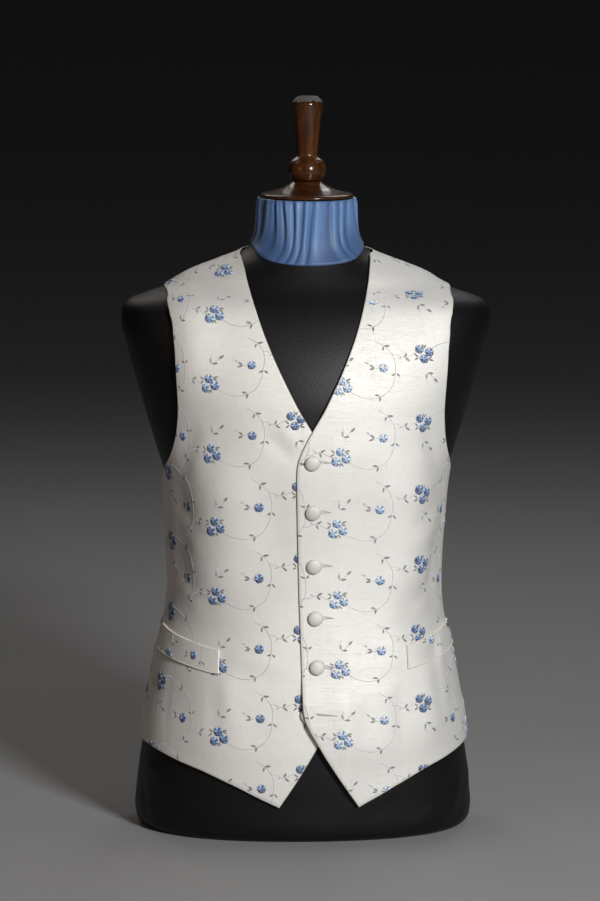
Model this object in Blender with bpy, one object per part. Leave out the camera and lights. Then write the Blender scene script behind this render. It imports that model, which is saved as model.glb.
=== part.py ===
"""An embroidered silk waistcoat on a limbless dress form, at real size.

Blender 4.5 script: metres, +Z up, the front faces -Y and +X is the wearer's left.
The origin is the middle of the flat base that the form stands on.

Tables are in millimetres. The form's skin is a stack of rounded sections, one for each height.
Every cloth piece is a wall that follows that skin a little further out, between its own edges.
A place on the skin is (turn, height): turn is 0 at the front centre and 180 degrees at the back.
"""

import math

import bmesh
import bpy
import numpy as np
from mathutils import Matrix, Vector

MM = 0.001

# ---- driving sizes, in millimetres -------------------------------------------------------

WALL = 1.8  # silk, canvas and lining together
SEAM_GAP = 0.3  # between two pieces that are sewn together
LAP_GAP = 0.7  # between the right front and the left front that laps over it
EXTENSION = 17.0  # how far each front reaches past the line of the buttons
LAP_FADE = (24.0, 58.0)  # from the button line: the lap's extra height starts to fall, and ends
WELT_WALL = 2.0
WELT_HEIGHT = 26.5
BUTTON_RADIUS = 8.3
BUTTON_RISE = 4.6
BUTTON_HEIGHTS = (426.0, 371.0, 310.0, 251.0, 197.0)  # the fastened ones
LAST_BUTTON_HEIGHT = 145.0  # left undone, on the right front, under the lap
NECK_TOP = 705.0
COVER_WALL = 1.4
GATHERS = 24
GATHER_DEPTH = 0.9

# The form's skin, from the base to the top of the neck.
FORM_COLUMNS = ("height", "half_width", "front", "back", "square")
FORM = (
    (0.0, 179.0, 117.0, 116.0, 0.045),
    (3.0, 184.5, 122.0, 121.0, 0.045),
    (9.0, 188.5, 125.5, 124.5, 0.045),
    (22.0, 190.0, 127.5, 126.5, 0.045),
    (40.0, 188.5, 128.0, 127.0, 0.045),
    (70.0, 185.0, 129.0, 128.0, 0.05),
    (99.0, 181.0, 129.0, 127.5, 0.05),
    (126.0, 178.5, 128.0, 125.0, 0.05),
    (150.0, 173.5, 126.0, 120.5, 0.05),
    (192.0, 165.5, 121.0, 111.0, 0.045),
    (214.0, 160.0, 118.0, 106.5, 0.045),
    (240.0, 153.5, 115.0, 103.0, 0.04),
    (272.0, 150.5, 113.0, 101.5, 0.04),
    (298.0, 151.0, 113.5, 102.5, 0.04),
    (357.0, 154.5, 118.5, 110.0, 0.045),
    (400.0, 158.5, 124.0, 116.5, 0.05),
    (427.0, 166.5, 126.5, 120.0, 0.045),
    (453.0, 174.5, 127.5, 123.0, 0.035),
    (480.0, 182.5, 127.0, 125.0, 0.03),
    (512.0, 192.0, 122.5, 125.0, 0.03),
    (540.0, 199.5, 114.5, 121.5, 0.035),
    (565.0, 205.5, 104.0, 114.0, 0.04),
    (580.0, 206.0, 96.0, 107.5, 0.04),
    (588.0, 202.0, 91.0, 103.0, 0.035),
    (593.0, 195.0, 87.5, 99.5, 0.03),
    (598.5, 180.0, 83.5, 95.5, 0.025),
    (607.5, 154.0, 77.0, 89.0, 0.015),
    (620.5, 131.0, 69.5, 79.0, 0.005),
    (633.0, 100.5, 63.0, 69.5, 0.0),
    (645.0, 71.5, 58.0, 62.0, 0.0),
    (654.0, 61.0, 55.0, 57.5, 0.0),
    (668.0, 54.5, 52.5, 53.5, 0.0),
    (685.0, 51.5, 51.0, 51.0, 0.0),
    (NECK_TOP, 50.5, 50.5, 50.5, 0.0),
)

# Air between the form and the inside of the waistcoat.
CLEAR_COLUMNS = ("height", "air")
CLEAR = (
    (40.0, 4.5),
    (100.0, 3.0),
    (156.0, 2.2),
    (400.0, 2.0),
    (480.0, 1.6),
    (560.0, 1.6),
    (600.0, 1.6),
    (650.0, 1.4),
)

# The lap is free below the last fastened button, and stands off over the undone one.
STAND_OFF_COLUMNS = ("height", "off")
STAND_OFF = ((40.0, 1.2), (80.0, 2.6), (112.0, 4.6), (132.0, 5.6), (154.0, 5.6), (170.0, 2.4), (186.0, 0.0))

# The line of the buttons leans a little to the wearer's left on its way down.
BUTTON_LINE_COLUMNS = ("height", "across")
BUTTON_LINE = ((40.0, 7.5), (197.0, 4.5), (310.0, 1.0), (430.0, -2.5), (520.0, -3.5), (650.0, -3.5))

# A front's centre edge: up the cutaway, up the lap, round into the neck and up to the shoulder.
CENTRE_EDGE_COLUMNS = ("height", "from_button_line")
CENTRE_EDGE = (
    (42.0, 44.0),
    (80.0, 18.5),
    (116.0, -3.0),
    (134.0, -12.5),
    (144.0, -15.8),
    (156.0, -EXTENSION),
    (405.0, -EXTENSION - 0.4),
    (422.0, -EXTENSION + 0.6),
    (436.0, -12.0),
    (459.5, 0.0),
    (480.0, 12.3),
    (505.0, 25.2),
    (532.0, 38.0),
    (564.0, 51.0),
    (592.0, 60.0),
    (612.0, 65.5),
    (630.0, 69.0),
    (643.0, 71.5),
)
CUTAWAY_TOP = 150.0

# The side seam, from the hem to the underarm.
SIDE_SEAM_COLUMNS = ("height", "turn")
SIDE_SEAM = ((99.0, 81.0), (125.0, 88.0), (156.0, 93.5), (200.0, 98.0), (300.0, 101.5), (370.0, 103.0))

# The armholes, from the underarm to the shoulder, as a distance from the middle.
FRONT_ARMHOLE_COLUMNS = ("height", "across")
FRONT_ARMHOLE = (
    (418.0, 156.5),
    (430.0, 152.6),
    (447.0, 149.2),
    (470.0, 147.4),
    (495.0, 147.0),
    (525.0, 148.2),
    (560.0, 150.6),
    (585.0, 152.6),
    (603.0, 154.4),
)
BACK_ARMHOLE_COLUMNS = ("height", "across")
BACK_ARMHOLE = (
    (425.0, 141.5),
    (445.0, 140.5),
    (485.0, 140.5),
    (520.0, 142.0),
    (555.0, 145.5),
    (585.0, 150.5),
    (603.0, 154.4),
)
UNDERARM = 370.0
# From the underarm the armhole first runs round the body, rising slowly.
UNDERARM_COLUMNS = ("turn", "height")
FRONT_UNDERARM = (
    (103.0, UNDERARM),
    (98.0, 372.5),
    (94.0, 377.5),
    (90.0, 384.5),
    (86.0, 392.5),
    (82.0, 401.0),
)
BACK_UNDERARM = (
    (103.0, UNDERARM),
    (108.0, 369.0),
    (112.0, 371.5),
    (116.0, 378.0),
    (120.0, 389.0),
    (124.0, 405.0),
)

SHOULDER_TURN = 97.0  # the shoulder seam lies just behind the ridge
SHOULDER_NECK = 645.5
SHOULDER_TIP = 607.5
BACK_NECK = 652.0
BACK_HEM = 103.0

# How far the hem bows above a straight line from the point to the side seam.
HEM_COLUMNS = ("share", "rise")
FRONT_HEM = ((0.0, 0.0), (0.1, 5.0), (0.22, 11.0), (0.42, 16.0), (0.6, 14.5), (0.8, 9.5), (1.0, 0.0))
HEM_ROWS = 8  # the rows over which that bow dies away

# A welt, from its front end towards the side, as a distance from the middle and a top edge.
WELT_COLUMNS = ("across", "top")
WELT = ((105.0, 217.0), (130.0, 222.5), (153.0, 231.0))
WELT_END_TURN = 80.0
WELT_END_TOP = 236.0

# Turned wood: a cap, and a finial of a ball with a handle above it.
TURNED_COLUMNS = ("radius", "height")
CAP = ((0.0, 705.4), (51.2, 705.4), (51.8, 706.6), (51.6, 708.4), (49.6, 709.8), (42.0, 711.2),
       (32.0, 713.8), (24.0, 717.2), (18.5, 720.6), (15.6, 723.4), (0.0, 723.4))
FINIAL = ((0.0, 723.8), (14.6, 723.8), (17.6, 726.2), (20.6, 730.6), (21.8, 736.4), (20.6, 742.4),
          (17.4, 746.8), (13.2, 749.6), (11.4, 751.8), (11.7, 758.0), (13.0, 775.0), (15.2, 794.0),
          (17.6, 806.0), (18.0, 809.0), (17.2, 811.5), (11.0, 817.6), (0.0, 817.8))

# ---- mesh fineness -----------------------------------------------------------------------

FORM_SIDES = 40
CLOSER_RINGS_ABOVE = (598.5, 607.5, 620.5, 633.0, 645.0, 654.0)  # where the shoulder turns into the neck
FRONT_COLUMNS = 16
CUTAWAY_ROWS, LAP_ROWS, FRONT_NECK_ROWS = 6, 15, 17
BACK_CENTRE_ROWS, BACK_NECK_ROWS = 36, 6
UNDERARM_ROW = 350.0  # how high the row from the underarm meets the centre back: low, so that no rows cross
BACK_COLUMNS = 12
SIDE_SEAM_ROWS = 19  # the same on both sides of the seam, so that it stays parallel
EDGE_SAMPLES = 60
TURNED_SIDES = 28
BUTTON_SIDES = 18


# ---- smooth lines through the tables -----------------------------------------------------


class Line:
    """A smooth line through (place, value) points that never swings past them."""

    def __init__(self, places, values):
        self.places = np.array(places, float)
        self.values = np.array(values, float)
        step = np.diff(self.places)
        rise = np.diff(self.values) / step
        slope = np.zeros(len(self.values))
        slope[0], slope[-1] = rise[0], rise[-1]
        for i in range(1, len(slope) - 1):
            if rise[i - 1] * rise[i] > 0:
                before, after = 2 * step[i] + step[i - 1], step[i] + 2 * step[i - 1]
                slope[i] = (before + after) / (before / rise[i - 1] + after / rise[i])
        self.slope = slope

    def __call__(self, place):
        place = min(max(place, self.places[0]), self.places[-1])
        i = min(int(np.searchsorted(self.places, place, "right")) - 1, len(self.places) - 2)
        width = self.places[i + 1] - self.places[i]
        t = (place - self.places[i]) / width
        return float(
            self.values[i] * (1 + 2 * t) * (1 - t) ** 2
            + self.slope[i] * width * t * (1 - t) ** 2
            + self.values[i + 1] * t * t * (3 - 2 * t)
            + self.slope[i + 1] * width * t * t * (t - 1)
        )


def column(table, columns, name):
    return [row[columns.index(name)] for row in table]


def line(table, columns, name, of=None):
    return Line(column(table, columns, of or columns[0]), column(table, columns, name))


half_width, front_depth, back_depth, squareness = (
    line(FORM, FORM_COLUMNS, name) for name in FORM_COLUMNS[1:]
)
air = line(CLEAR, CLEAR_COLUMNS, "air")
button_line = line(BUTTON_LINE, BUTTON_LINE_COLUMNS, "across")
centre_edge = line(CENTRE_EDGE, CENTRE_EDGE_COLUMNS, "from_button_line")
side_seam = line(SIDE_SEAM, SIDE_SEAM_COLUMNS, "turn")
stand_off = line(STAND_OFF, STAND_OFF_COLUMNS, "off")
hem_rise = line(FRONT_HEM, HEM_COLUMNS, "rise")


# ---- the skin ----------------------------------------------------------------------------


def skin(turn, height):
    """A point of the form's skin on the wearer's left. The other side mirrors it."""
    angle = math.radians(turn)
    full = 1 + squareness(height) * math.sin(2 * angle) ** 2
    depth = front_depth(height) if turn < 90 else back_depth(height)
    return Vector(
        (half_width(height) * math.sin(angle) * full, -depth * math.cos(angle) * full, height)
    )


def outward(turn, height):
    around = skin(turn + 0.4, height) - skin(turn - 0.4, height)
    up = skin(turn, height + 0.4) - skin(turn, height - 0.4)
    return around.cross(up).normalized()


def above(turn, height, lift):
    """The point that lies lift millimetres off the skin."""
    return skin(turn, height) + outward(turn, height) * lift


def turn_at(across, height):
    """The turn at which the outside of the cloth is this far from the middle."""
    low, high = -20.0, 90.0
    for _ in range(30):
        middle = (low + high) / 2
        if above(middle, height, air(height) + WALL).x < across:
            low = middle
        else:
            high = middle
    return (low + high) / 2


def half_gap(turn, height):
    """Half a seam's gap, as a turn."""
    speed = (skin(turn + 0.5, height) - skin(turn - 0.5, height)).length
    return SEAM_GAP / 2 / speed


# ---- edges, as lists of (turn, height) ---------------------------------------------------


def spaced(points, count):
    """The same line as count + 1 places, evenly spaced on the skin."""
    spots = [skin(*point) for point in points]
    along = [0.0]
    for a, b in zip(spots, spots[1:]):
        along.append(along[-1] + (b - a).length)
    wanted = np.linspace(0.0, along[-1], count + 1)
    return list(
        zip(
            np.interp(wanted, along, [p[0] for p in points]),
            np.interp(wanted, along, [p[1] for p in points]),
        )
    )


def heights(low, high):
    return np.linspace(low, high, EDGE_SAMPLES)


def front_centre(side):
    """The centre edge of a front, with a row of the grid at each of its corners."""
    def place(height):
        return turn_at(centre_edge(height) + side * button_line(height), height), height

    top = CENTRE_EDGE[-1][0]
    cutaway = [place(h) for h in heights(CENTRE_EDGE[0][0], CUTAWAY_TOP)]
    lap = [place(h) for h in heights(CUTAWAY_TOP, 430.0)]
    neck = [place(h) for h in heights(430.0, top)]
    neck += [(neck[-1][0] + (SHOULDER_TURN - neck[-1][0]) * s, top + (SHOULDER_NECK - top) * s)
             for s in np.linspace(0.05, 1.0, 20)]
    return (spaced(cutaway, CUTAWAY_ROWS) + spaced(lap, LAP_ROWS)[1:]
            + spaced(neck, FRONT_NECK_ROWS)[1:])


def armhole(under, table, columns, back):
    """From the underarm round the body, then up to the shoulder."""
    across = line(table, columns, "across")
    foot = [turn for turn, _ in under], [height for _, height in under]
    points = [(turn, float(h)) for turn, h in zip(*foot)]
    for h in heights(table[0][0], table[-1][0]):
        turn = turn_at(across(h), h)
        points.append((180 - turn if back else turn, float(h)))
    points.append((SHOULDER_TURN, SHOULDER_TIP))
    return points


def rounded(points, passes=6):
    """Eases the bends of a line whose two ends stay."""
    for _ in range(passes):
        points = [points[0]] + [
            tuple((a[k] + 2 * b[k] + c[k]) / 4 for k in (0, 1))
            for a, b, c in zip(points, points[1:], points[2:])
        ] + [points[-1]]
    return points


def side_edge(back):
    """The side seam and the armhole, in as many rows as the edge across from them."""
    rows = BACK_CENTRE_ROWS + BACK_NECK_ROWS if back else CUTAWAY_ROWS + LAP_ROWS + FRONT_NECK_ROWS
    seam = [(side_seam(h), float(h)) for h in heights(SIDE_SEAM[0][0], UNDERARM)]
    if back:
        arm = armhole(BACK_UNDERARM, BACK_ARMHOLE, BACK_ARMHOLE_COLUMNS, True)
    else:
        arm = armhole(FRONT_UNDERARM, FRONT_ARMHOLE, FRONT_ARMHOLE_COLUMNS, False)
    arm = rounded(spaced(arm, EDGE_SAMPLES))
    return spaced(seam, SIDE_SEAM_ROWS) + spaced(arm, rows - SIDE_SEAM_ROWS)[1:]


def back_centre():
    low = [(180.0, float(h)) for h in heights(BACK_HEM, UNDERARM_ROW)]
    high = [(180.0, float(h)) for h in heights(UNDERARM_ROW, BACK_NECK)]
    neck = []
    for s in np.linspace(0.0, 1.0, 30):
        dip = math.sin(math.pi * s) * 1.5
        neck.append((180 + (SHOULDER_TURN - 180) * s, BACK_NECK + (SHOULDER_NECK - BACK_NECK) * s - dip))
    return (spaced(low, SIDE_SEAM_ROWS) + spaced(high, BACK_CENTRE_ROWS - SIDE_SEAM_ROWS)[1:]
            + spaced(neck, BACK_NECK_ROWS)[1:])


# ---- grids and walls ---------------------------------------------------------------------


def grid_between(inner, outer, columns, hem=None):
    """Rows of places from the inner edge to the outer edge."""
    grid = []
    for row, (a, b) in enumerate(zip(inner, outer)):
        places = []
        for c in range(columns + 1):
            share = c / columns
            rise = hem(share) * max(0.0, 1 - row / HEM_ROWS) if hem else 0.0
            places.append((a[0] + (b[0] - a[0]) * share, a[1] + (b[1] - a[1]) * share + rise))
        grid.append(places)
    return grid


def parted(grid, edge_turn_sign):
    """Pulls the outer edge and the last row back by half a seam's gap."""
    rows = [list(row) for row in grid]
    for row in rows:
        turn, height = row[-1]
        if height < UNDERARM + 0.5:
            row[-1] = (turn + edge_turn_sign * half_gap(turn, height), height)
    rows[-1] = [(t + edge_turn_sign * half_gap(t, h), h) for t, h in rows[-1]]
    return rows


def new_object(name, mesh_maker, material, smooth_angle=40.0):
    mesh = bpy.data.meshes.new(name)
    bm = bmesh.new()
    mesh_maker(bm)
    bmesh.ops.recalc_face_normals(bm, faces=bm.faces)
    if bm.calc_volume(signed=True) < 0:
        bmesh.ops.reverse_faces(bm, faces=bm.faces)
    bm.to_mesh(mesh)
    bm.free()
    mesh.shade_smooth()
    mesh.set_sharp_from_angle(angle=math.radians(smooth_angle))
    obj = bpy.data.objects.new(name, mesh)
    obj.data.materials.append(material)
    bpy.context.scene.collection.objects.link(obj)
    return obj


def wall(bm, inside, outside):
    """A closed wall between two grids of points in millimetres, of the same size."""
    faces_of = []
    for grid in (outside, inside):
        faces_of.append([[bm.verts.new(point * MM) for point in row] for row in grid])
    outer, inner = faces_of
    rows, columns = len(outer) - 1, len(outer[0]) - 1
    for sheet in (outer, inner):
        for r in range(rows):
            for c in range(columns):
                bm.faces.new((sheet[r][c], sheet[r][c + 1], sheet[r + 1][c + 1], sheet[r + 1][c]))
    rim = [(0, c) for c in range(columns)] + [(r, columns) for r in range(rows)]
    rim += [(rows, c) for c in range(columns, 0, -1)] + [(r, 0) for r in range(rows, 0, -1)]
    for (r, c), (s, d) in zip(rim, rim[1:] + rim[:1]):
        bm.faces.new((outer[r][c], outer[s][d], inner[s][d], inner[r][c]))


def turned(bm, profile, sides):
    """A closed shape turned round the Z axis from (radius, height) points, bottom to top."""
    def ring(radius, height):
        if radius == 0.0:
            return [bm.verts.new(Vector((0, 0, height)) * MM)] * sides
        angles = [2 * math.pi * k / sides for k in range(sides)]
        return [bm.verts.new(Vector((radius * math.cos(a), radius * math.sin(a), height)) * MM)
                for a in angles]

    rings = [ring(*point) for point in profile]
    for low, high in zip(rings, rings[1:]):
        for k in range(sides):
            n = (k + 1) % sides
            corners = dict.fromkeys((low[k], low[n], high[n], high[k]))
            bm.faces.new(list(corners))


def mirrored(point, side):
    return Vector((point.x * side, point.y, point.z))


# ---- the pieces --------------------------------------------------------------------------


def finish(name, colour, roughness, metallic=0.0):
    material = bpy.data.materials.new(name)
    material.use_nodes = True
    shader = material.node_tree.nodes["Principled BSDF"]
    shader.inputs["Base Color"].default_value = (*colour, 1.0)
    shader.inputs["Roughness"].default_value = roughness
    shader.inputs["Metallic"].default_value = metallic
    return material


def lap_lift(across, height):
    """What the left front rises by to clear the right front, and its button, under it."""
    near, far = LAP_FADE
    share = min(max((across - near) / (far - near), 0.0), 1.0)
    return (WALL + LAP_GAP + stand_off(height)) * (1 - share * share * (3 - 2 * share))


def front_lift(side):
    """How far a front's inside lies off the skin, at a place on it."""
    def lift(turn, height):
        if side < 0:
            return air(height)
        return air(height) + lap_lift(skin(turn, height).x - button_line(height), height)

    return lift


def front_grid(side):
    inner = front_centre(side)
    outer = side_edge(False)
    return parted(grid_between(inner, outer, FRONT_COLUMNS, hem_rise), -1)


def cloth_panel(name, grid, lift, side, material):
    def make(bm):
        inside = [[mirrored(above(t, h, lift(t, h)), side) for t, h in row] for row in grid]
        outside = [[mirrored(above(t, h, lift(t, h) + WALL), side) for t, h in row] for row in grid]
        wall(bm, inside, outside)

    return new_object(name, make, material)


def back_grid():
    grid = parted(grid_between(back_centre(), side_edge(True), BACK_COLUMNS), 1)
    for row in grid:
        turn, height = row[0]
        if turn > 179.0:
            row[0] = (turn - half_gap(turn, height), height)
    return grid


def pocket_welt(name, side, material):
    """A stitched-on strip over the pocket, standing on the front's outer face."""
    top = line(WELT, WELT_COLUMNS, "top")
    first = WELT[0][0]
    start = turn_at(first, top(first))
    last = turn_at(WELT[-1][0], WELT[-1][1])
    tops = Line((start, turn_at(WELT[1][0], WELT[1][1]), last, WELT_END_TURN),
                (top(first), WELT[1][1], WELT[-1][1], WELT_END_TOP))
    lift = front_lift(side)

    def place(column, row):
        turn = start + (WELT_END_TURN - start) * column / 14
        return turn, tops(turn) - WELT_HEIGHT * row / 3

    def make(bm):
        sheets = []
        for extra in (SEAM_GAP, SEAM_GAP + WELT_WALL):
            sheets.append([
                [mirrored(above(t, h, lift(t, h) + WALL + extra), side)
                 for t, h in (place(c, r) for c in range(15))]
                for r in range(4)
            ])
        wall(bm, *sheets)

    return new_object(name, make, material)


def covered_button(name, height, side, material):
    """A domed button on the button line, its flat back on one of the fronts."""
    turn = turn_at(button_line(height), height)
    lift = front_lift(1)(turn, height) if side > 0 else air(height)
    seat = above(turn, height, lift + WALL + SEAM_GAP)
    axis = outward(turn, height)

    def make(bm):
        dome = [(0.0, 0.0), (BUTTON_RADIUS * 0.82, 0.0), (BUTTON_RADIUS, BUTTON_RISE * 0.3)]
        for step in range(1, 5):
            angle = math.radians(22.5 * step)
            dome.append((BUTTON_RADIUS * math.cos(angle),
                         BUTTON_RISE * (0.3 + 0.7 * math.sin(angle))))
        dome[-1] = (0.0, BUTTON_RISE)
        turned(bm, dome, BUTTON_SIDES)
        facing = Vector((0, 0, 1)).rotation_difference(axis).to_matrix().to_4x4()
        bm.transform(Matrix.Translation(seat * MM) @ facing)

    return new_object(name, make, material)


def dress_form(material):
    """The closed torso: rings of skin from the flat base to the top of the neck."""
    levels = [row[0] for row in FORM]
    rings = []
    for low, high in zip(levels, levels[1:]):
        rings.append(low)
        if low in CLOSER_RINGS_ABOVE:
            rings.append((low + high) / 2)
    rings.append(levels[-1])

    def make(bm):
        loops = []
        for height in rings:
            loop = []
            for k in range(FORM_SIDES):
                angle = 360.0 * k / FORM_SIDES
                side = 1 if angle <= 180 else -1
                loop.append(bm.verts.new(mirrored(skin(min(angle, 360 - angle), height), side) * MM))
            loops.append(loop)
        for low, high in zip(loops, loops[1:]):
            for k in range(FORM_SIDES):
                n = (k + 1) % FORM_SIDES
                bm.faces.new((low[k], low[n], high[n], high[k]))
        bm.faces.new(loops[0])
        bm.faces.new(loops[-1])

    return new_object("dress_form", make, material)


def neck_cover(material):
    """The gathered cloth round the neck, tucked under the wooden cap."""
    around = GATHERS * 4
    levels = 4

    def lower_edge(turn):
        return 643.0 - 9.0 * math.cos(math.radians(turn)) + 12.0 * math.sin(math.radians(turn)) ** 2

    def make(bm):
        sheets = []
        for thickness in (0.0, COVER_WALL):
            sheet = []
            for level in range(levels + 1):
                loop = []
                for k in range(around):
                    angle = 360.0 * k / around
                    turn, side = min(angle, 360 - angle), 1 if angle <= 180 else -1
                    low = lower_edge(turn)
                    height = low + (NECK_TOP - 0.3 - low) * level / levels
                    wave = 1 + math.cos(2 * math.pi * k / 4)
                    lift = 0.5 + thickness + (GATHER_DEPTH * wave / 2 if thickness else 0.0)
                    loop.append(bm.verts.new(mirrored(above(turn, height, lift), side) * MM))
                sheet.append(loop)
            sheets.append(sheet)
        inner, outer = sheets
        for sheet in sheets:
            for low, high in zip(sheet, sheet[1:]):
                for k in range(around):
                    n = (k + 1) % around
                    bm.faces.new((low[k], low[n], high[n], high[k]))
        for level in (0, levels):
            for k in range(around):
                n = (k + 1) % around
                bm.faces.new((inner[level][k], inner[level][n], outer[level][n], outer[level][k]))

    return new_object("neck_cover", make, material)


def main():
    for obj in list(bpy.data.objects):
        bpy.data.objects.remove(obj, do_unlink=True)

    silk = finish("embroidered ivory silk", (0.75, 0.72, 0.66), 0.45)
    satin = finish("ivory satin", (0.72, 0.69, 0.62), 0.35)
    black = finish("black form cover", (0.012, 0.012, 0.014), 0.75)
    blue = finish("blue sateen", (0.10, 0.22, 0.48), 0.55)
    wood = finish("polished dark wood", (0.075, 0.022, 0.010), 0.2)

    dress_form(black)
    neck_cover(blue)
    new_object("neck_cap", lambda bm: turned(bm, CAP, TURNED_SIDES), wood, 30.0)
    new_object("finial", lambda bm: turned(bm, FINIAL, TURNED_SIDES), wood, 30.0)
    for name, side in (("right", -1), ("left", 1)):
        cloth_panel(f"{name}_front", front_grid(side), front_lift(side), side, silk)
        cloth_panel(f"{name}_back", back_grid(), lambda t, h: air(h), side, satin)
        pocket_welt(f"{name}_welt", side, silk)
    for number, height in enumerate(BUTTON_HEIGHTS, 1):
        covered_button(f"button_{number}", height, 1, silk)
    covered_button(f"button_{len(BUTTON_HEIGHTS) + 1}", LAST_BUTTON_HEIGHT, -1, silk)


main()
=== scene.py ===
# %% [markdown]
# # An embroidered waistcoat on a dress form
#
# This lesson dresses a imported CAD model: sixteen plain solids become silk, stitching and
# polished wood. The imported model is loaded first, and every new piece takes its place from the
# same frame: metres, +Z up, the front towards -Y, and +X on the wearer's left.
# A tailor works in millimetres, so the tables below do too, and MM brings them to metres.

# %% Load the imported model
import math

import bmesh
import bpy
import numpy as np
from mathutils import Matrix, Vector
from mathutils.kdtree import KDTree


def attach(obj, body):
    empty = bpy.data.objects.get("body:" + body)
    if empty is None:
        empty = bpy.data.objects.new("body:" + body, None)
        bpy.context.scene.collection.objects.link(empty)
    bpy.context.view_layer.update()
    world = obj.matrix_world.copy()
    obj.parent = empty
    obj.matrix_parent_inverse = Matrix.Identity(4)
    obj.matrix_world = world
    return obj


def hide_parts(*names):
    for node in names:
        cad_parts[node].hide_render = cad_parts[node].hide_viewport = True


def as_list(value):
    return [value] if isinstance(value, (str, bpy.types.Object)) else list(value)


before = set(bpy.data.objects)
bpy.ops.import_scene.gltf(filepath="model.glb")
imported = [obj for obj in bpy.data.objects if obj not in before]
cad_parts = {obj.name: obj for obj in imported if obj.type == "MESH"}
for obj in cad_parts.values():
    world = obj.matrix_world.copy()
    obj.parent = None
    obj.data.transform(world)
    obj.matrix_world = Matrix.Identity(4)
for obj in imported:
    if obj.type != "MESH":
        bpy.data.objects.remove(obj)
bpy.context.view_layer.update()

MM = 0.001
print("CAD nodes:", ", ".join(sorted(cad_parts)))

# %% [markdown]
# ## The camera
#
# A garment is best seen through a long lens from a few metres away, because a short lens close up
# would swell the chest and shrink the hips. The camera stands higher than the form and looks down
# at it a little, from slightly to the wearer's right, turned a fraction of a degree about its axis.

# %% The camera
LOOK_AT = Vector((-0.0058, 0.0, 0.421))
CAMERA_TURN, CAMERA_RISE, CAMERA_ROLL = -4.5, 8.0, 0.37  # degrees
CAMERA_DISTANCE = 4.71
LENS_MM = 168.0

camera = bpy.data.objects.new("camera", bpy.data.cameras.new("camera"))
bpy.context.scene.collection.objects.link(camera)
camera.data.lens = LENS_MM
camera.data.clip_end = 200.0
rise, turn = math.radians(CAMERA_RISE), math.radians(CAMERA_TURN)
camera.location = LOOK_AT + CAMERA_DISTANCE * Vector(
    (math.cos(rise) * math.sin(turn), -math.cos(rise) * math.cos(turn), math.sin(rise))
)
aim = (LOOK_AT - camera.location).to_track_quat("-Z", "Y").to_matrix()
camera.rotation_euler = (aim @ Matrix.Rotation(math.radians(CAMERA_ROLL), 3, "Z")).to_euler()
bpy.context.scene.camera = camera
print("camera at", [round(c, 3) for c in camera.location])

# %% [markdown]
# ## The body under the cloth
#
# Every cloth piece lies a few millimetres off the same torso, so the torso comes first, as a
# formula rather than a mesh. It is a stack of rounded sections, one row of the table each, joined
# by lines that never swing past their points. A place on it is (turn, height): the turn runs from
# 0 at the front centre to 180 degrees at the back centre. The functions take whole arrays, so
# that a panel of ten thousand points is worked out at once.

# %% The torso's sections
FORM = np.array((  # height, half width, depth in front, depth behind, squareness
    (0.0, 179.0, 117.0, 116.0, 0.045), (3.0, 184.5, 122.0, 121.0, 0.045),
    (9.0, 188.5, 125.5, 124.5, 0.045), (22.0, 190.0, 127.5, 126.5, 0.045),
    (40.0, 188.5, 128.0, 127.0, 0.045), (70.0, 185.0, 129.0, 128.0, 0.05),
    (99.0, 181.0, 129.0, 127.5, 0.05), (126.0, 178.5, 128.0, 125.0, 0.05),
    (150.0, 173.5, 126.0, 120.5, 0.05), (192.0, 165.5, 121.0, 111.0, 0.045),
    (214.0, 160.0, 118.0, 106.5, 0.045), (240.0, 153.5, 115.0, 103.0, 0.04),
    (272.0, 150.5, 113.0, 101.5, 0.04), (298.0, 151.0, 113.5, 102.5, 0.04),
    (357.0, 154.5, 118.5, 110.0, 0.045), (400.0, 158.5, 124.0, 116.5, 0.05),
    (427.0, 166.5, 126.5, 120.0, 0.045), (453.0, 174.5, 127.5, 123.0, 0.035),
    (480.0, 182.5, 127.0, 125.0, 0.03), (512.0, 192.0, 122.5, 125.0, 0.03),
    (540.0, 199.5, 114.5, 121.5, 0.035), (565.0, 205.5, 104.0, 114.0, 0.04),
    (580.0, 206.0, 96.0, 107.5, 0.04), (588.0, 202.0, 91.0, 103.0, 0.035),
    (593.0, 195.0, 87.5, 99.5, 0.03), (598.5, 180.0, 83.5, 95.5, 0.025),
    (607.5, 154.0, 77.0, 89.0, 0.015), (620.5, 131.0, 69.5, 79.0, 0.005),
    (633.0, 100.5, 63.0, 69.5, 0.0), (645.0, 71.5, 58.0, 62.0, 0.0),
    (654.0, 61.0, 55.0, 57.5, 0.0), (668.0, 54.5, 52.5, 53.5, 0.0),
    (685.0, 51.5, 51.0, 51.0, 0.0), (705.0, 50.5, 50.5, 50.5, 0.0),
))
FORM_TOP = 705.0
print("the torso is", 2 * FORM[:, 1].max(), "mm wide at its widest")


# %% Smooth lines through tables
class Line:
    """A smooth line through (place, value) points that never swings past them."""

    def __init__(self, places, values):
        self.places = np.array(places, float)
        self.values = np.array(values, float)
        step = np.diff(self.places)
        rise = np.diff(self.values) / step
        slope = np.zeros(len(self.values))
        slope[0], slope[-1] = rise[0], rise[-1]
        for i in range(1, len(slope) - 1):
            if rise[i - 1] * rise[i] > 0:
                before, after = 2 * step[i] + step[i - 1], step[i] + 2 * step[i - 1]
                slope[i] = (before + after) / (before / rise[i - 1] + after / rise[i])
        self.slope = slope

    def __call__(self, place):
        place = np.clip(place, self.places[0], self.places[-1])
        i = np.clip(np.searchsorted(self.places, place, "right") - 1, 0, len(self.places) - 2)
        width = self.places[i + 1] - self.places[i]
        t = (place - self.places[i]) / width
        return (
            self.values[i] * (1 + 2 * t) * (1 - t) ** 2
            + self.slope[i] * width * t * (1 - t) ** 2
            + self.values[i + 1] * t * t * (3 - 2 * t)
            + self.slope[i + 1] * width * t * t * (t - 1)
        )


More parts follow.
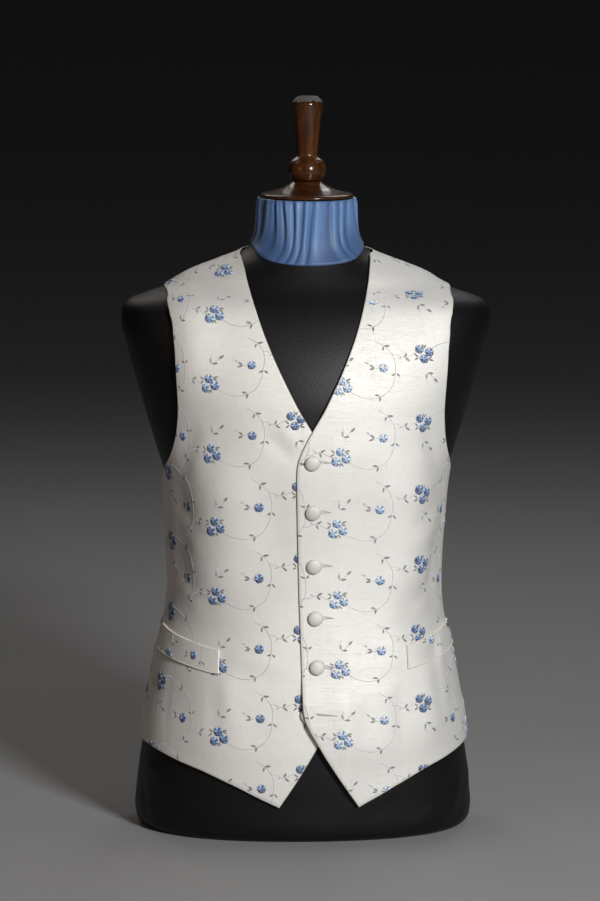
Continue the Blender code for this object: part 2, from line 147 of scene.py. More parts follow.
half_width, front_depth, back_depth, squareness = (Line(FORM[:, 0], FORM[:, k]) for k in range(1, 5))
print("halfway up, the torso is", round(2 * float(half_width(FORM_TOP / 2)), 1), "mm wide")

# %% Places on the torso
SLIGHT = 0.4  # the small step, in degrees or millimetres, that a slope is measured over


def skin(turn, height):
    """The torso's point at a turn and a height."""
    angle = np.radians(turn)
    full = 1 + squareness(height) * np.sin(2 * angle) ** 2
    depth = np.where(np.asarray(turn) < 90, front_depth(height), back_depth(height))
    return np.stack([half_width(height) * np.sin(angle) * full,
                     -depth * np.cos(angle) * full, height + 0 * angle], -1)


def outward(turn, height):
    """The direction that leads straight off the torso there."""
    around = skin(turn + SLIGHT, height) - skin(turn - SLIGHT, height)
    up = skin(turn, height + SLIGHT) - skin(turn, height - SLIGHT)
    normal = np.cross(around, up)
    return normal / np.linalg.norm(normal, axis=-1, keepdims=True)


def above(turn, height, lift):
    """The points that lie lift millimetres off the torso."""
    turn, height, lift = np.broadcast_arrays(turn, height, lift)
    return skin(turn, height) + outward(turn, height) * lift[..., None]


def smooth_step(share):
    """From 0 to 1 with an easy start and an easy end."""
    share = np.clip(share, 0.0, 1.0)
    return share * share * (3 - 2 * share)


print("at the bust the torso reaches", round(float(-skin(0.0, 453.0)[1]), 1), "mm forward")

# %% [markdown]
# ## The cut of the waistcoat
#
# A waistcoat front is one piece of cloth between a few edges: up the cutaway, up the row of
# buttons, along the neck to the shoulder, down the armhole and the side seam, and back along the
# hem. Each edge is a line of places on the torso. The two fronts share one cut, but the left one
# lies over the right one, so it stands a little further out near the buttons.

# %% The edges' sizes
WALL = 1.8  # silk, canvas and lining together
SEAM_GAP, LAP_GAP = 0.3, 0.7
EXTENSION = 17.0
LAP_FADE = (24.0, 58.0)
UNDERARM, SHOULDER_TURN = 370.0, 97.0
SHOULDER_NECK, SHOULDER_TIP, BACK_NECK, BACK_HEM = 645.5, 607.5, 652.0, 103.0
CUTAWAY_TOP, NECK_START = 150.0, 430.0  # the buttons' row runs between these heights

air = Line((40, 100, 156, 400, 480, 560, 600, 650), (4.5, 3.0, 2.2, 2.0, 1.6, 1.6, 1.6, 1.4))
stand_off = Line((40, 80, 112, 132, 154, 170, 186), (1.2, 2.6, 4.6, 5.6, 5.6, 2.4, 0.0))
button_line = Line((40, 197, 310, 430, 520, 650), (7.5, 4.5, 1.0, -2.5, -3.5, -3.5))
centre_edge = Line(
    (42, 80, 116, 134, 144, 156, 405, 422, 436, 459.5, 480, 505, 532, 564, 592, 612, 630, 643),
    (44, 18.5, -3, -12.5, -15.8, -EXTENSION, -EXTENSION - 0.4, -EXTENSION + 0.6, -12, 0,
     12.3, 25.2, 38, 51, 60, 65.5, 69, 71.5))
side_seam = Line((99, 125, 156, 200, 300, 370), (81, 88, 93.5, 98, 101.5, 103))
hem_rise = Line((0, 0.1, 0.22, 0.42, 0.6, 0.8, 1), (0, 5, 11, 16, 14.5, 9.5, 0))
front_armhole = Line((418, 430, 447, 470, 495, 525, 560, 585, 603),
                     (156.5, 152.6, 149.2, 147.4, 147, 148.2, 150.6, 152.6, 154.4))
back_armhole = Line((425, 445, 485, 520, 555, 585, 603),
                    (141.5, 140.5, 140.5, 142, 145.5, 150.5, 154.4))
FRONT_UNDERARM = ((103, 370), (98, 372.5), (94, 377.5), (90, 384.5), (86, 392.5), (82, 401))
BACK_UNDERARM = ((103, 370), (108, 369), (112, 371.5), (116, 378), (120, 389), (124, 405))
UNDERARM_ROW = 350.0  # the height at the centre back of the row that starts at the underarm
print("the back is", BACK_NECK - BACK_HEM, "mm from hem to neck")

# %% How fine the panels are
# Four rows and four columns here for each one of the CAD wall, so that creases have points to bend.
FINER = 4
CUTAWAY_ROWS, LAP_ROWS, NECK_ROWS, FRONT_COLUMNS = 6 * FINER, 15 * FINER, 17 * FINER, 16 * FINER
BACK_CENTRE_ROWS, BACK_NECK_ROWS, BACK_COLUMNS = 28 * FINER, 6 * FINER, 12 * FINER
SEAM_ROWS, HEM_ROWS = 19 * FINER, 8 * FINER
FRONT_ROWS = CUTAWAY_ROWS + LAP_ROWS + NECK_ROWS
BACK_ROWS = BACK_CENTRE_ROWS + BACK_NECK_ROWS
print("a front has", FRONT_ROWS, "rows and a back", BACK_ROWS)

# %% Places along an edge
EDGE_SAMPLES = 60
HALVINGS = 30


def turn_at(across, height):
    """The turn at which the outside of the cloth is this far from the middle."""
    low, high = np.full(np.shape(height), -20.0), np.full(np.shape(height), 90.0)
    for _ in range(HALVINGS):
        middle = (low + high) / 2
        short = above(middle, height, air(height) + WALL)[..., 0] < across
        low, high = np.where(short, middle, low), np.where(short, high, middle)
    return (low + high) / 2


def spaced(points, count):
    """The same line as count + 1 places, evenly spaced on the torso."""
    points = np.array(points, float)
    spots = skin(points[:, 0], points[:, 1])
    along = np.concatenate([[0.0], np.cumsum(np.linalg.norm(np.diff(spots, axis=0), axis=1))])
    wanted = np.linspace(0.0, along[-1], count + 1)
    return np.stack([np.interp(wanted, along, points[:, k]) for k in (0, 1)], -1)


def samples(low, high):
    return np.linspace(low, high, EDGE_SAMPLES)


print("the first button is at a turn of", round(float(turn_at(button_line(426.0), 426.0)), 2))

# %% The edges, as lists of (turn, height)
BEND_PASSES = 6


def front_centre(side):
    """Up the cutaway and the buttons, along the neck, and back to the shoulder seam."""
    def places(low, high):
        height = samples(low, high)
        across = centre_edge(height) + side * button_line(height)
        return np.stack([turn_at(across, height), height], -1)

    top = centre_edge.places[-1]
    neck = places(NECK_START, top)
    last, share = neck[-1, 0], np.linspace(0.05, 1.0, 20)
    shoulder = np.stack([last + (SHOULDER_TURN - last) * share,
                         top + (SHOULDER_NECK - top) * share], -1)
    return np.concatenate([spaced(places(centre_edge.places[0], CUTAWAY_TOP), CUTAWAY_ROWS),
                           spaced(places(CUTAWAY_TOP, NECK_START), LAP_ROWS)[1:],
                           spaced(np.concatenate([neck, shoulder]), NECK_ROWS)[1:]])


def armhole(under, across, back):
    """From the underarm round the body, then up to the shoulder, with its bends eased."""
    height = samples(across.places[0], across.places[-1])
    turn = turn_at(across(height), height)
    rising = np.stack([180 - turn if back else turn, height], -1)
    points = spaced(np.concatenate([under, rising, [(SHOULDER_TURN, SHOULDER_TIP)]]), EDGE_SAMPLES)
    for _ in range(BEND_PASSES):
        points[1:-1] = (points[:-2] + 2 * points[1:-1] + points[2:]) / 4
    return points


def side_edge(back):
    """Up the side seam, then round the armhole to the tip of the shoulder."""
    height = samples(side_seam.places[0], UNDERARM)
    seam = np.stack([side_seam(height), height], -1)
    arm = armhole(BACK_UNDERARM, back_armhole, True) if back else armhole(
        FRONT_UNDERARM, front_armhole, False)
    rows = BACK_ROWS if back else FRONT_ROWS
    return np.concatenate([spaced(seam, SEAM_ROWS), spaced(arm, rows - SEAM_ROWS)[1:]])


def back_centre():
    """Up the centre back, where the underarm's row lies low enough for no row to cross another."""
    low, high = (np.stack([np.full(EDGE_SAMPLES, 180.0), samples(*ends)], -1)
                 for ends in ((BACK_HEM, UNDERARM_ROW), (UNDERARM_ROW, BACK_NECK)))
    share = np.linspace(0.0, 1.0, 30)
    neck = np.stack([180 + (SHOULDER_TURN - 180) * share,
                     BACK_NECK + (SHOULDER_NECK - BACK_NECK) * share
                     - 1.5 * np.sin(math.pi * share)], -1)
    return np.concatenate([spaced(low, SEAM_ROWS), spaced(high, BACK_CENTRE_ROWS - SEAM_ROWS)[1:],
                           spaced(neck, BACK_NECK_ROWS)[1:]])


print("a back's inner edge has", len(back_centre()), "places")


# %% The grid between two edges
def half_gap(places):
    """Half of a seam's gap, as a turn."""
    turn, height = places[..., 0], places[..., 1]
    speed = np.linalg.norm(skin(turn + 0.5, height) - skin(turn - 0.5, height), axis=-1)
    return SEAM_GAP / 2 / speed


def grid_between(inner, outer, columns, bowed=False):
    """Rows of (turn, height) from the inner edge to the outer edge, parted by the seams' gaps."""
    share = np.linspace(0.0, 1.0, columns + 1)[None, :, None]
    grid = inner[:, None] * (1 - share) + outer[:, None] * share
    if bowed:
        fade = np.clip(1 - np.arange(len(inner)) / HEM_ROWS, 0.0, 1.0)
        grid[..., 1] += hem_rise(share[0, :, 0])[None, :] * fade[:, None]
    towards = -1 if bowed else 1
    seam = grid[:, -1, 1] < UNDERARM + 0.5
    grid[seam, -1, 0] += towards * half_gap(grid[seam, -1])
    grid[-1, :, 0] += towards * half_gap(grid[-1])
    return grid


def lap_lift(across, height):
    """What the left front rises by, to clear the right front and its last button."""
    near, far = LAP_FADE
    return (WALL + LAP_GAP + stand_off(height)) * (1 - smooth_step((across - near) / (far - near)))


def front_lift(side, turn, height):
    """How far a smooth front stands off the torso."""
    if side < 0:
        return air(height)
    return air(height) + lap_lift(skin(turn, height)[..., 0] - button_line(height), height)


print("the lap stands", WALL + LAP_GAP, "mm out")

# %% [markdown]
# ## Cloth coordinates
#
# Weave and embroidery belong to the cloth, not to space, so each panel gets a UV map measured in
# metres along the cloth: U round the body from the front centre, V up it. A pattern drawn in
# those coordinates then keeps its size where the chest curves away. U is the length round the
# torso at one height; V is the length up the torso, measured halfway to the side.

# %% Lengths along the cloth
TURNS = np.linspace(-20.0, 180.0, 401)
LEVELS = np.linspace(0.0, FORM_TOP, 706)
MIDWAY = 45.0


def running_length(points):
    """The length of a line of points, up to each one of them."""
    steps = np.linalg.norm(np.diff(points, axis=0), axis=-1)
    return np.concatenate([np.zeros((1,) + steps.shape[1:]), np.cumsum(steps, axis=0)])


round_body = running_length(skin(TURNS[:, None], LEVELS[None, :]))
round_body -= round_body[np.searchsorted(TURNS, 0.0)]
up_body = running_length(skin(MIDWAY, LEVELS))
print("the cloth runs", round(float(up_body[645] - up_body[42])), "mm from point to shoulder")

# %% How the pattern lies
SIDE_DROP = {-1: 0.01, 1: 0.04}  # the weft sinks a little towards the sides
# No cloth hangs quite true: these say how far the pattern drops and leans at each height.
EASE_HEIGHTS = (63, 140, 218, 297, 376, 440, 511, 584, 612, 645)
NARROWED = {-1: 1.0, 1: 0.97}  # the left front is stretched a little
# What the dart takes from the pattern at the right side, and how far it lifts it there.
side_take, SIDE_LIFT = Line((110, 220), (3.0, 16.0)), 14.0
TAKE_FROM, TAKE_OVER, LIFT_FROM, LIFT_OVER = 112, 62, 152, 24  # millimetres round the body
dropped = {-1: Line(EASE_HEIGHTS, (8.6, 8.4, 9.2, 7.2, 3.9, 1.2, 1.2, 2.2, 0.0, -9.0)),
           1: Line(EASE_HEIGHTS, (8.6, 8.0, 9.0, 7.2, 3.9, 1.2, 1.2, 2.2, 1.8, -22.0))}
leant = {-1: Line(EASE_HEIGHTS, (13.6, 12.0, 11.0, 11.0, 10.2, 2.2, 0.5, 8.0, 14.0, 22.0)),
         1: Line(EASE_HEIGHTS, (7.0, 3.2, 1.5, -0.5, -1.8, 0.8, 1.6, -6.4, -9.0, -10.0))}


def length_round(turn, height, side):
    """Millimetres round the body from the front centre, more than 0 on the wearer's left."""
    t = np.clip((turn - TURNS[0]) / (TURNS[1] - TURNS[0]), 0, len(TURNS) - 1.001)
    h = np.clip(height, 0, len(LEVELS) - 1.001)
    i, j = t.astype(int), h.astype(int)
    a, b = t - i, h - j
    return side * (round_body[i, j] * (1 - a) * (1 - b) + round_body[i + 1, j] * a * (1 - b)
                   + round_body[i, j + 1] * (1 - a) * b + round_body[i + 1, j + 1] * a * b)


def cloth_place(turn, height, side):
    """(U, V) in millimetres along the cloth."""
    around = length_round(turn, height, side)
    up = np.interp(height, LEVELS, up_body) + SIDE_DROP[side] * side * around + dropped[side](height)
    up = up - SIDE_LIFT * smooth_step((-around - LIFT_FROM) / LIFT_OVER)
    around = around - side_take(height) * smooth_step((-around - TAKE_FROM) / TAKE_OVER)
    return np.stack([around * NARROWED[side] - leant[side](height), up], -1)


print("the second button's (U, V):", cloth_place(np.array(0.5), np.array(371.0), 1).round(1))

# %% [markdown]
# ## Creases
#
# A fitted waistcoat hardly creases, but silk on canvas is never flat. Short drag lines run from
# the waist towards the underarm, each front breaks softly below its pocket, and the top button
# pulls. A broad ridge about 8 mm high also runs down each front, and turns its side away from the
# light. Simulated cloth would scatter such folds anywhere, so each one is listed: a line
# across the cloth, how wide it is, and how far it rises or sinks.

# %% Creases of each panel
# from U, from height, to U, to height, width, rise: all in millimetres
LEFT_FRONT_CREASES = (
    (112, 338, 166, 412, 13, -2.0), (104, 318, 160, 384, 12, 1.5),
    (116, 256, 170, 330, 13, -2.0), (108, 236, 168, 300, 12, 1.5),
    (120, 182, 172, 248, 12, -1.4), (96, 300, 106, 160, 20, 0.9),
    (100, 190, 104, 96, 7, -0.8), (30, 200, 110, 199, 9, 0.9), (24, 188, 108, 186, 12, -0.8),
    (10, 146, 84, 120, 11, -0.4), (22, 128, 86, 104, 12, 0.3), (150, 240, 158, 120, 8, -1.0),
    (162, 250, 170, 116, 8, 0.9), (128, 470, 152, 400, 12, -1.1), (118, 480, 140, 392, 12, 0.8),
    (24, 425, 78, 452, 12, 0.5), (60, 540, 96, 590, 16, -0.6),
    (105, 232, 112, 450, 34, 8.2), (164, 250, 166, 430, 20, -1.7),
    (60, 62, 64, 216, 34, 4.4), (130, 84, 132, 222, 22, 3.0), (148, 470, 144, 640, 28, 3.0),
    (144, 240, 148, 350, 13, -2.6),
)
RIGHT_FRONT_CREASES = (
    (-20, 422, -62, 462, 9, -1.1), (-16, 436, -40, 470, 10, 0.8), (-40, 420, -36, 300, 18, -1.0),
    (-70, 420, -66, 290, 22, 0.7), (-128, 470, -150, 396, 12, -1.3), (-112, 476, -134, 388, 13, 0.9),
    (-126, 330, -172, 398, 12, -1.4), (-114, 306, -166, 366, 12, 1.0),
    (-128, 262, -176, 322, 13, -1.4), (-118, 244, -168, 290, 12, 0.9),
    (-106, 186, -100, 100, 9, -1.0), (-92, 196, -88, 120, 12, 0.7),
    (-32, 198, -98, 199, 9, 0.7), (-28, 186, -98, 185, 12, -0.6),
    (-163, 198, -170, 98, 4, -0.6),
    (-20, 150, -76, 106, 12, -0.6),
    (-114, 228, -116, 456, 36, 8.4), (-166, 244, -168, 440, 20, -1.9),
    (-110, 62, -112, 210, 34, 2.4), (-156, 84, -158, 214, 24, -0.6), (-148, 470, -144, 640, 28, 4.6),
)
BACK_CREASES = (
    (330, 300, 250, 330, 16, -1.4), (322, 276, 240, 292, 16, 1.0), (334, 262, 262, 250, 15, -1.2),
    (238, 330, 206, 392, 13, -1.3), (226, 312, 194, 366, 13, 0.9), (300, 560, 236, 590, 20, -1.0),
    (318, 540, 262, 556, 18, 0.8), (262, 230, 250, 120, 13, -0.9), (290, 220, 296, 116, 16, 0.8),
    (214, 240, 206, 120, 10, -1.0), (252, 470, 222, 400, 15, -0.9),
)


CREASE_BEND, CREASE_FADE = 0.048, 0.35  # shares of a crease's length


def crease_lift(around, height, creases):
    """Soft troughs and ridges, each fading out at both of its ends."""
    lift = np.zeros(np.shape(around))
    for u0, h0, u1, h1, width, rise in creases:
        run = np.array([u1 - u0, h1 - h0], float)
        length = np.linalg.norm(run)
        along = ((around - u0) * run[0] + (height - h0) * run[1]) / length
        aside = ((around - u0) * run[1] - (height - h0) * run[0]) / length
        bend = CREASE_BEND * length * np.sin(math.pi * np.clip(along / length, 0, 1))
        fade = CREASE_FADE * length
        ends = smooth_step(along / fade) * smooth_step((length - along) / fade)
        lift += rise * ends * np.exp(-(((aside - bend) / width) ** 2))
    return lift


print(len(LEFT_FRONT_CREASES) + len(RIGHT_FRONT_CREASES), "creases on the fronts")

# %% [markdown]
# ## Cloth panels
#
# A panel could be one sheet with a Solidify modifier, but its cut edges would then be square.
# Tailored edges are turned and pressed, so the wall is built here by hand: an outer grid, an inner
# grid, and between them a rounded rim. The outer grid is kept on its own as well, because the
# embroidery is laid on it later.

# %% Faces from grids
def border(rows, columns):
    """The places on a grid's edge, in order all the way round."""
    walk = [(0, c) for c in range(columns)] + [(r, columns) for r in range(rows)]
    return walk + [(rows, c) for c in range(columns, 0, -1)] + [(r, 0) for r in range(rows, 0, -1)]


def quads(index, closed=False):
    """The faces of a grid of point numbers. A closed one joins its last column to its first."""
    right = np.roll(index, -1, 1) if closed else index[:, 1:]
    left = index if closed else index[:, :-1]
    return np.stack([left[:-1], right[:-1], right[1:], left[1:]], -1).reshape(-1, 4).tolist()


def face_outwards(mesh):
    bm = bmesh.new()
    bm.from_mesh(mesh)
    bmesh.ops.recalc_face_normals(bm, faces=bm.faces)
    if bm.calc_volume(signed=True) < 0:
        bmesh.ops.reverse_faces(bm, faces=bm.faces)
    bm.to_mesh(mesh)
    bm.free()


def new_piece(name, points, faces, uvs=None):
    """A mesh object from points in millimetres, its faces turned outwards."""
    mesh = bpy.data.meshes.new(name)
    mesh.from_pydata((np.asarray(points, float) * MM).tolist(), [], faces)
    if uvs is not None:
        layer = mesh.uv_layers.new(name="cloth")
        corners = np.zeros(len(mesh.loops), int)
        mesh.loops.foreach_get("vertex_index", corners)
        layer.data.foreach_set("uv", (np.asarray(uvs) * MM)[corners].ravel())
    face_outwards(mesh)
    mesh.shade_smooth()
    piece = bpy.data.objects.new(name, mesh)
    bpy.context.scene.collection.objects.link(piece)
    return piece


print("a grid of 3 by 3 points has", len(quads(np.arange(9).reshape(3, 3))), "faces")

# %% A closed wall with a pressed edge
RIM_ANGLES = (50.0, 0.0, -50.0)
SET_BACK = 0.75  # how far the flat faces stop short of the edge, as a share of half the wall
EDGE_REACH = 12.0  # how far from an edge the "edge" attribute still counts


def panel(name, outer, inner, uv):
    """A closed cloth wall from two grids of points of the same size, and their cloth places."""
    rows, columns = outer.shape[0] - 1, outer.shape[1] - 1
    walk = border(rows, columns)
    at = tuple(np.array(walk).T)
    inward = tuple(np.array([(min(max(r, 1), rows - 1), min(max(c, 1), columns - 1))
                             for r, c in walk]).T)
    across = outer[at] - inner[at]
    across /= np.linalg.norm(across, axis=1, keepdims=True)
    away = outer[at] - outer[inward]
    away -= across * np.sum(away * across, axis=1, keepdims=True)
    away /= np.linalg.norm(away, axis=1, keepdims=True)
    middle = (outer[at] + inner[at]) / 2
    half = np.linalg.norm(outer[at] - inner[at], axis=1, keepdims=True) / 2
    outer, inner = outer.copy(), inner.copy()
    outer[at] -= away * half * SET_BACK
    inner[at] -= away * half * SET_BACK
    rims = [middle + across * half * math.sin(math.radians(a))
            - away * half * (1 - math.cos(math.radians(a))) for a in RIM_ANGLES]

    size = outer.shape[0] * outer.shape[1]
    index = np.arange(size).reshape(rows + 1, columns + 1)
    faces = quads(index) + quads(index + size)
    rings = [index[at]] + [2 * size + k * len(walk) + np.arange(len(walk))
                           for k in range(len(rims))] + [index[at] + size]
    faces += quads(np.array(rings), closed=True)
    points = np.concatenate([outer.reshape(-1, 3), inner.reshape(-1, 3)] + rims)
    flat = uv.reshape(-1, 2)
    uvs = np.concatenate([flat, flat] + [uv[at]] * len(rims))
    piece = new_piece(name, points, faces, uvs)

    tree = KDTree(len(walk))
    for k, spot in enumerate(middle):
        tree.insert(spot, k)
    tree.balance()
    distance = [min(tree.find(spot)[2], EDGE_REACH) / EDGE_REACH for spot in points]
    piece.data.attributes.new("edge", "FLOAT", "POINT").data.foreach_set("value", distance)
    return piece


def laid_sheet(name, outer, uv):
    """The panel's outer face alone, for laying stitches on."""
    index = np.arange(outer.shape[0] * outer.shape[1]).reshape(outer.shape[:2])
    sheet = new_piece(name, outer.reshape(-1, 3), quads(index), uv.reshape(-1, 2))
    middle = sheet.data.polygons[len(sheet.data.polygons) // 2]
    if middle.normal.dot(middle.center - Vector((0, 0, middle.center.z))) < 0:
        sheet.data.flip_normals()
    return sheet


def on_side(points, side):
    """Mirrors points to the wearer's right where side is -1."""
    return points * np.array([side, 1.0, 1.0])


print("each edge is rounded in", len(RIM_ANGLES) + 1, "steps")

# %% The four panels
RESTING = 0.3  # the least that the cloth stands off the form, even in a trough
FRONT_CREASES = {-1: RIGHT_FRONT_CREASES, 1: LEFT_FRONT_CREASES}
panels, laid = {}, {}


def cloth_lift(side, turn, height, smooth, creases):
    """How far the inside of the cloth lies off the form, creases and all."""
    creased = crease_lift(length_round(turn, height, side), height, creases)
    return np.maximum(smooth + creased, RESTING)


def worn_front_lift(side, turn, height):
    return cloth_lift(side, turn, height, front_lift(side, turn, height), FRONT_CREASES[side])


def cut_panel(name, grid, lift, side):
    turn, height = grid[..., 0], grid[..., 1]
    uv = cloth_place(turn, height, side)
    inner = on_side(above(turn, height, lift), side)
    outer = on_side(above(turn, height, lift + WALL), side)
    panels[name] = panel(f"{name}_cloth", outer, inner, uv)
    laid[name] = laid_sheet(f"{name}_laid", outer, uv)


for name, side in (("right", -1), ("left", 1)):
    grid = grid_between(front_centre(side), side_edge(False), FRONT_COLUMNS, bowed=True)
    cut_panel(f"{name}_front", grid, worn_front_lift(side, grid[..., 0], grid[..., 1]), side)
    grid = grid_between(back_centre(), side_edge(True), BACK_COLUMNS)
    centre = grid[:, 0, 0] > 179.0
    grid[centre, 0, 0] -= half_gap(grid[centre, 0])
    turn, height = grid[..., 0], grid[..., 1]
    creases = [(side * row[0], row[1], side * row[2], *row[3:]) for row in BACK_CREASES]
    cut_panel(f"{name}_back", grid, cloth_lift(side, turn, height, air(height), creases), side)
for name, piece in panels.items():
    print(name, len(piece.data.polygons), "faces")

# %% [markdown]
# ## Node trees written as sums
#
# Shaders and Geometry Nodes are both drawn as boxes and wires, which soon fills a page. Here one
# small class wraps a socket: a plus or a times between two wires adds the Math node it stands for,
# and every other node comes from its one method, settings first and sockets after.

# %% A wire between nodes
class Wire:
    """An output socket of a node tree. Wire(tree) alone starts a new one."""

    def __init__(self, tree, socket=None):
        self.tree, self.socket = tree, socket

    def node(self, kind, settings=None, sockets=None, out=0):
        node = self.tree.nodes.new(kind)
        for name, value in (settings or {}).items():
            if name == "stops":
                ramp = node.color_ramp
                while len(ramp.elements) < len(value):
                    ramp.elements.new(0.5)
                for element, (place, colour) in zip(ramp.elements, value):
                    element.position, element.color = place, (*colour, 1.0)
            else:
                setattr(node, name, value)
        for name, value in (sockets or {}).items():
            for one in value if isinstance(value, list) else [value]:
                if isinstance(one, Wire):
                    self.tree.links.new(one.socket, node.inputs[name])
                else:
                    node.inputs[name].default_value = one
        return Wire(self.tree, node.outputs[out] if len(node.outputs) else None)

    def twin(self, name):
        """Another output of the node that this wire leaves."""
        return Wire(self.tree, self.socket.node.outputs[name])

    def maths(self, operation, *values):
        return self.node("ShaderNodeMath", {"operation": operation}, dict(enumerate(values)))

    def clamped(self):
        return self.node("ShaderNodeClamp", None, {"Value": self})

    def sine(self):
        return self.maths("SINE", self)

    def __add__(self, other):
        return self.maths("ADD", self, other)

    def __radd__(self, other):
        return self.maths("ADD", other, self)

    def __sub__(self, other):
        return self.maths("SUBTRACT", self, other)

    def __rsub__(self, other):
        return self.maths("SUBTRACT", other, self)

    def __mul__(self, other):
        return self.maths("MULTIPLY", self, other)

    def __rmul__(self, other):
        return self.maths("MULTIPLY", other, self)

    def __gt__(self, other):
        return self.maths("GREATER_THAN", self, other)


print("a wire can be added, taken away, multiplied and compared")

# %% Colours, clouds and finishes
def blended(share, first, second):
    """A colour between two colours. A Math node would turn it grey."""
    return share.node("ShaderNodeMix", {"data_type": "RGBA", "clamp_factor": True},
                      {0: share, 6: first, 7: second}, out=2)


def scaled(vector, scales):
    return vector.node("ShaderNodeVectorMath", {"operation": "MULTIPLY"}, {0: vector, 1: scales})


def noise(vector, scales, detail=2.0, roughness=0.5, distortion=0.0):
    """Cloudy values from 0 to 1, so many clouds to the metre along each axis."""
    return vector.node("ShaderNodeTexNoise", None, {
        "Vector": scaled(vector, scales), "Scale": 1.0, "Detail": detail, "Roughness": roughness,
        "Distortion": distortion})


def new_finish(name, sockets, feeds):
    """A material: plain numbers on the shader's own sockets, and feeds(start) for what varies."""
    material = bpy.data.materials.new(name)
    material.use_nodes = True
    tree = material.node_tree
    shader = tree.nodes["Principled BSDF"]
    for socket, value in sockets.items():
        shader.inputs[socket].default_value = value
    for socket, wire in feeds(Wire(tree)).items():
        tree.links.new(wire.socket, shader.inputs[socket])
    return material


def bumped(height, depth, strength=1.0):
    """A Normal wire from a height between 0 and 1 that stands for depth millimetres."""
    return height.node("ShaderNodeBump", None, {
        "Height": height, "Distance": depth * MM, "Strength": strength}, out="Normal")


print("materials before the first finish:", len(bpy.data.materials))

# %% [markdown]
# ## Dupion silk
#
# Dupion is woven from uneven yarn: slubs, thicker stretches of weft, lie across the cloth as fine
# level streaks, over a crisp plain weave. An image texture would repeat and blur, so the streaks
# are noise that is stretched along U, in the cloth's own coordinates. They colour the silk a
# little, roughen it and stand up from it. The plain back is the same weave with fewer slubs.

# %% Silk
THREAD_PITCH = 0.62  # millimetres from one weft thread to the next, a little coarse so that it shows


def woven(slub_share, light, dark, painted_edge_colour, edge_width):
    def feeds(start):
        cloth = start.node("ShaderNodeUVMap", {"uv_map": "cloth"})
        slubs = ((noise(cloth, (22.0, 900.0, 1.0), 3.0, 0.62) - 0.53) * 6.0).clamped()
        short = ((noise(cloth, (95.0, 1500.0, 1.0), 2.0) - 0.56) * 7.0).clamped()
        warp = noise(cloth, (1500.0, 60.0, 1.0), 1.0)
        floats = ((noise(cloth, (900.0, 42.0, 1.0), 1.0) - 0.70) * 12.0).clamped()
        stain = noise(cloth, (9.0, 7.0, 1.0), 3.0)
        pucker = noise(cloth, (70.0, 55.0, 1.0), 2.0)
        waves = cloth.node("ShaderNodeSeparateXYZ", None, {0: cloth})
        beat = 2000.0 * math.pi / THREAD_PITCH
        weave = (waves * beat).sine() * (waves.twin("Y") * beat).sine()
        # Painted light along the cut edges, edge_width millimetres wide: a dark edge colour paints a
        # shadow line there, a pale one paints a highlight.
        edge = start.node("ShaderNodeAttribute", {"attribute_name": "edge"}, out="Fac")
        painted_edge_mask = (1.0 - edge * (EDGE_REACH / edge_width)).clamped()
        shade = (slubs * 0.17 + short * 0.14 - floats * 0.4) * slub_share + warp * 0.34 + stain * 0.34
        silk = blended(shade - 0.20, light, dark)
        height = ((slubs * 0.27 + short * 0.27 + floats * 0.6) * slub_share + warp * 0.24
                  + weave * 0.10 + pucker * 1.0)
        return {
            "Base Color": blended(painted_edge_mask, silk, painted_edge_colour),
            "Roughness": 0.54 + shade * 0.22,
            "Normal": bumped(height, 0.30),
        }

    return feeds


SILK_SHEEN = {"Metallic": 0.40, "Specular IOR Level": 0.6}
IVORY, IVORY_SHADE = (0.79, 0.777, 0.742, 1.0), (0.67, 0.650, 0.596, 1.0)
# The last colour in each call is painted at the cut edges: a dark brown shadow line on the fronts, a
# darker line of shade on the back, a pale highlight on the welts.
silk = new_finish("ivory_dupion_silk", SILK_SHEEN, woven(
    1.0, IVORY, IVORY_SHADE, (0.34, 0.275, 0.185, 1.0), 1.5))
welt_silk = new_finish("ivory_dupion_welt", SILK_SHEEN, woven(
    1.0, IVORY, IVORY_SHADE, (0.93, 0.88, 0.76, 1.0), 1.6))
back_satin = new_finish("plain_ivory_back", SILK_SHEEN, woven(
    0.45, (0.76, 0.73, 0.665, 1.0), (0.60, 0.565, 0.49, 1.0), (0.52, 0.47, 0.39, 1.0), 1.5))
button_silk = new_finish("plain_ivory_buttons", SILK_SHEEN, woven(
    0.3, (0.81, 0.80, 0.775, 1.0), (0.72, 0.704, 0.664, 1.0), (0.66, 0.64, 0.60, 1.0), 1.5))
print("silk finishes:", silk.name, welt_silk.name, back_satin.name)

# %% [markdown]
# ## Embroidery thread
#
# The flowers, leaves and vines are stitched in shiny thread of a few dyes. One material serves them
# all: each stitch carries a number from 0 to 1 in an attribute called "shade", and a colour ramp
# turns that number into its dye, so neighbouring dyes can also melt into each other.

# %% Thread
DYES = {"navy": 0.0, "blue": 0.12, "sky": 0.24, "pale": 0.36, "white": 0.50, "silver": 0.62,
        "slate": 0.69, "bark": 0.76, "beige": 0.88, "cream": 1.0}
DYE_COLOURS = (
    (0.014, 0.032, 0.105), (0.040, 0.095, 0.25), (0.125, 0.245, 0.47), (0.47, 0.62, 0.80),
    (0.88, 0.88, 0.87), (0.56, 0.58, 0.62), (0.27, 0.27, 0.27), (0.110, 0.096, 0.078),
    (0.64, 0.60, 0.50), (0.92, 0.87, 0.74))


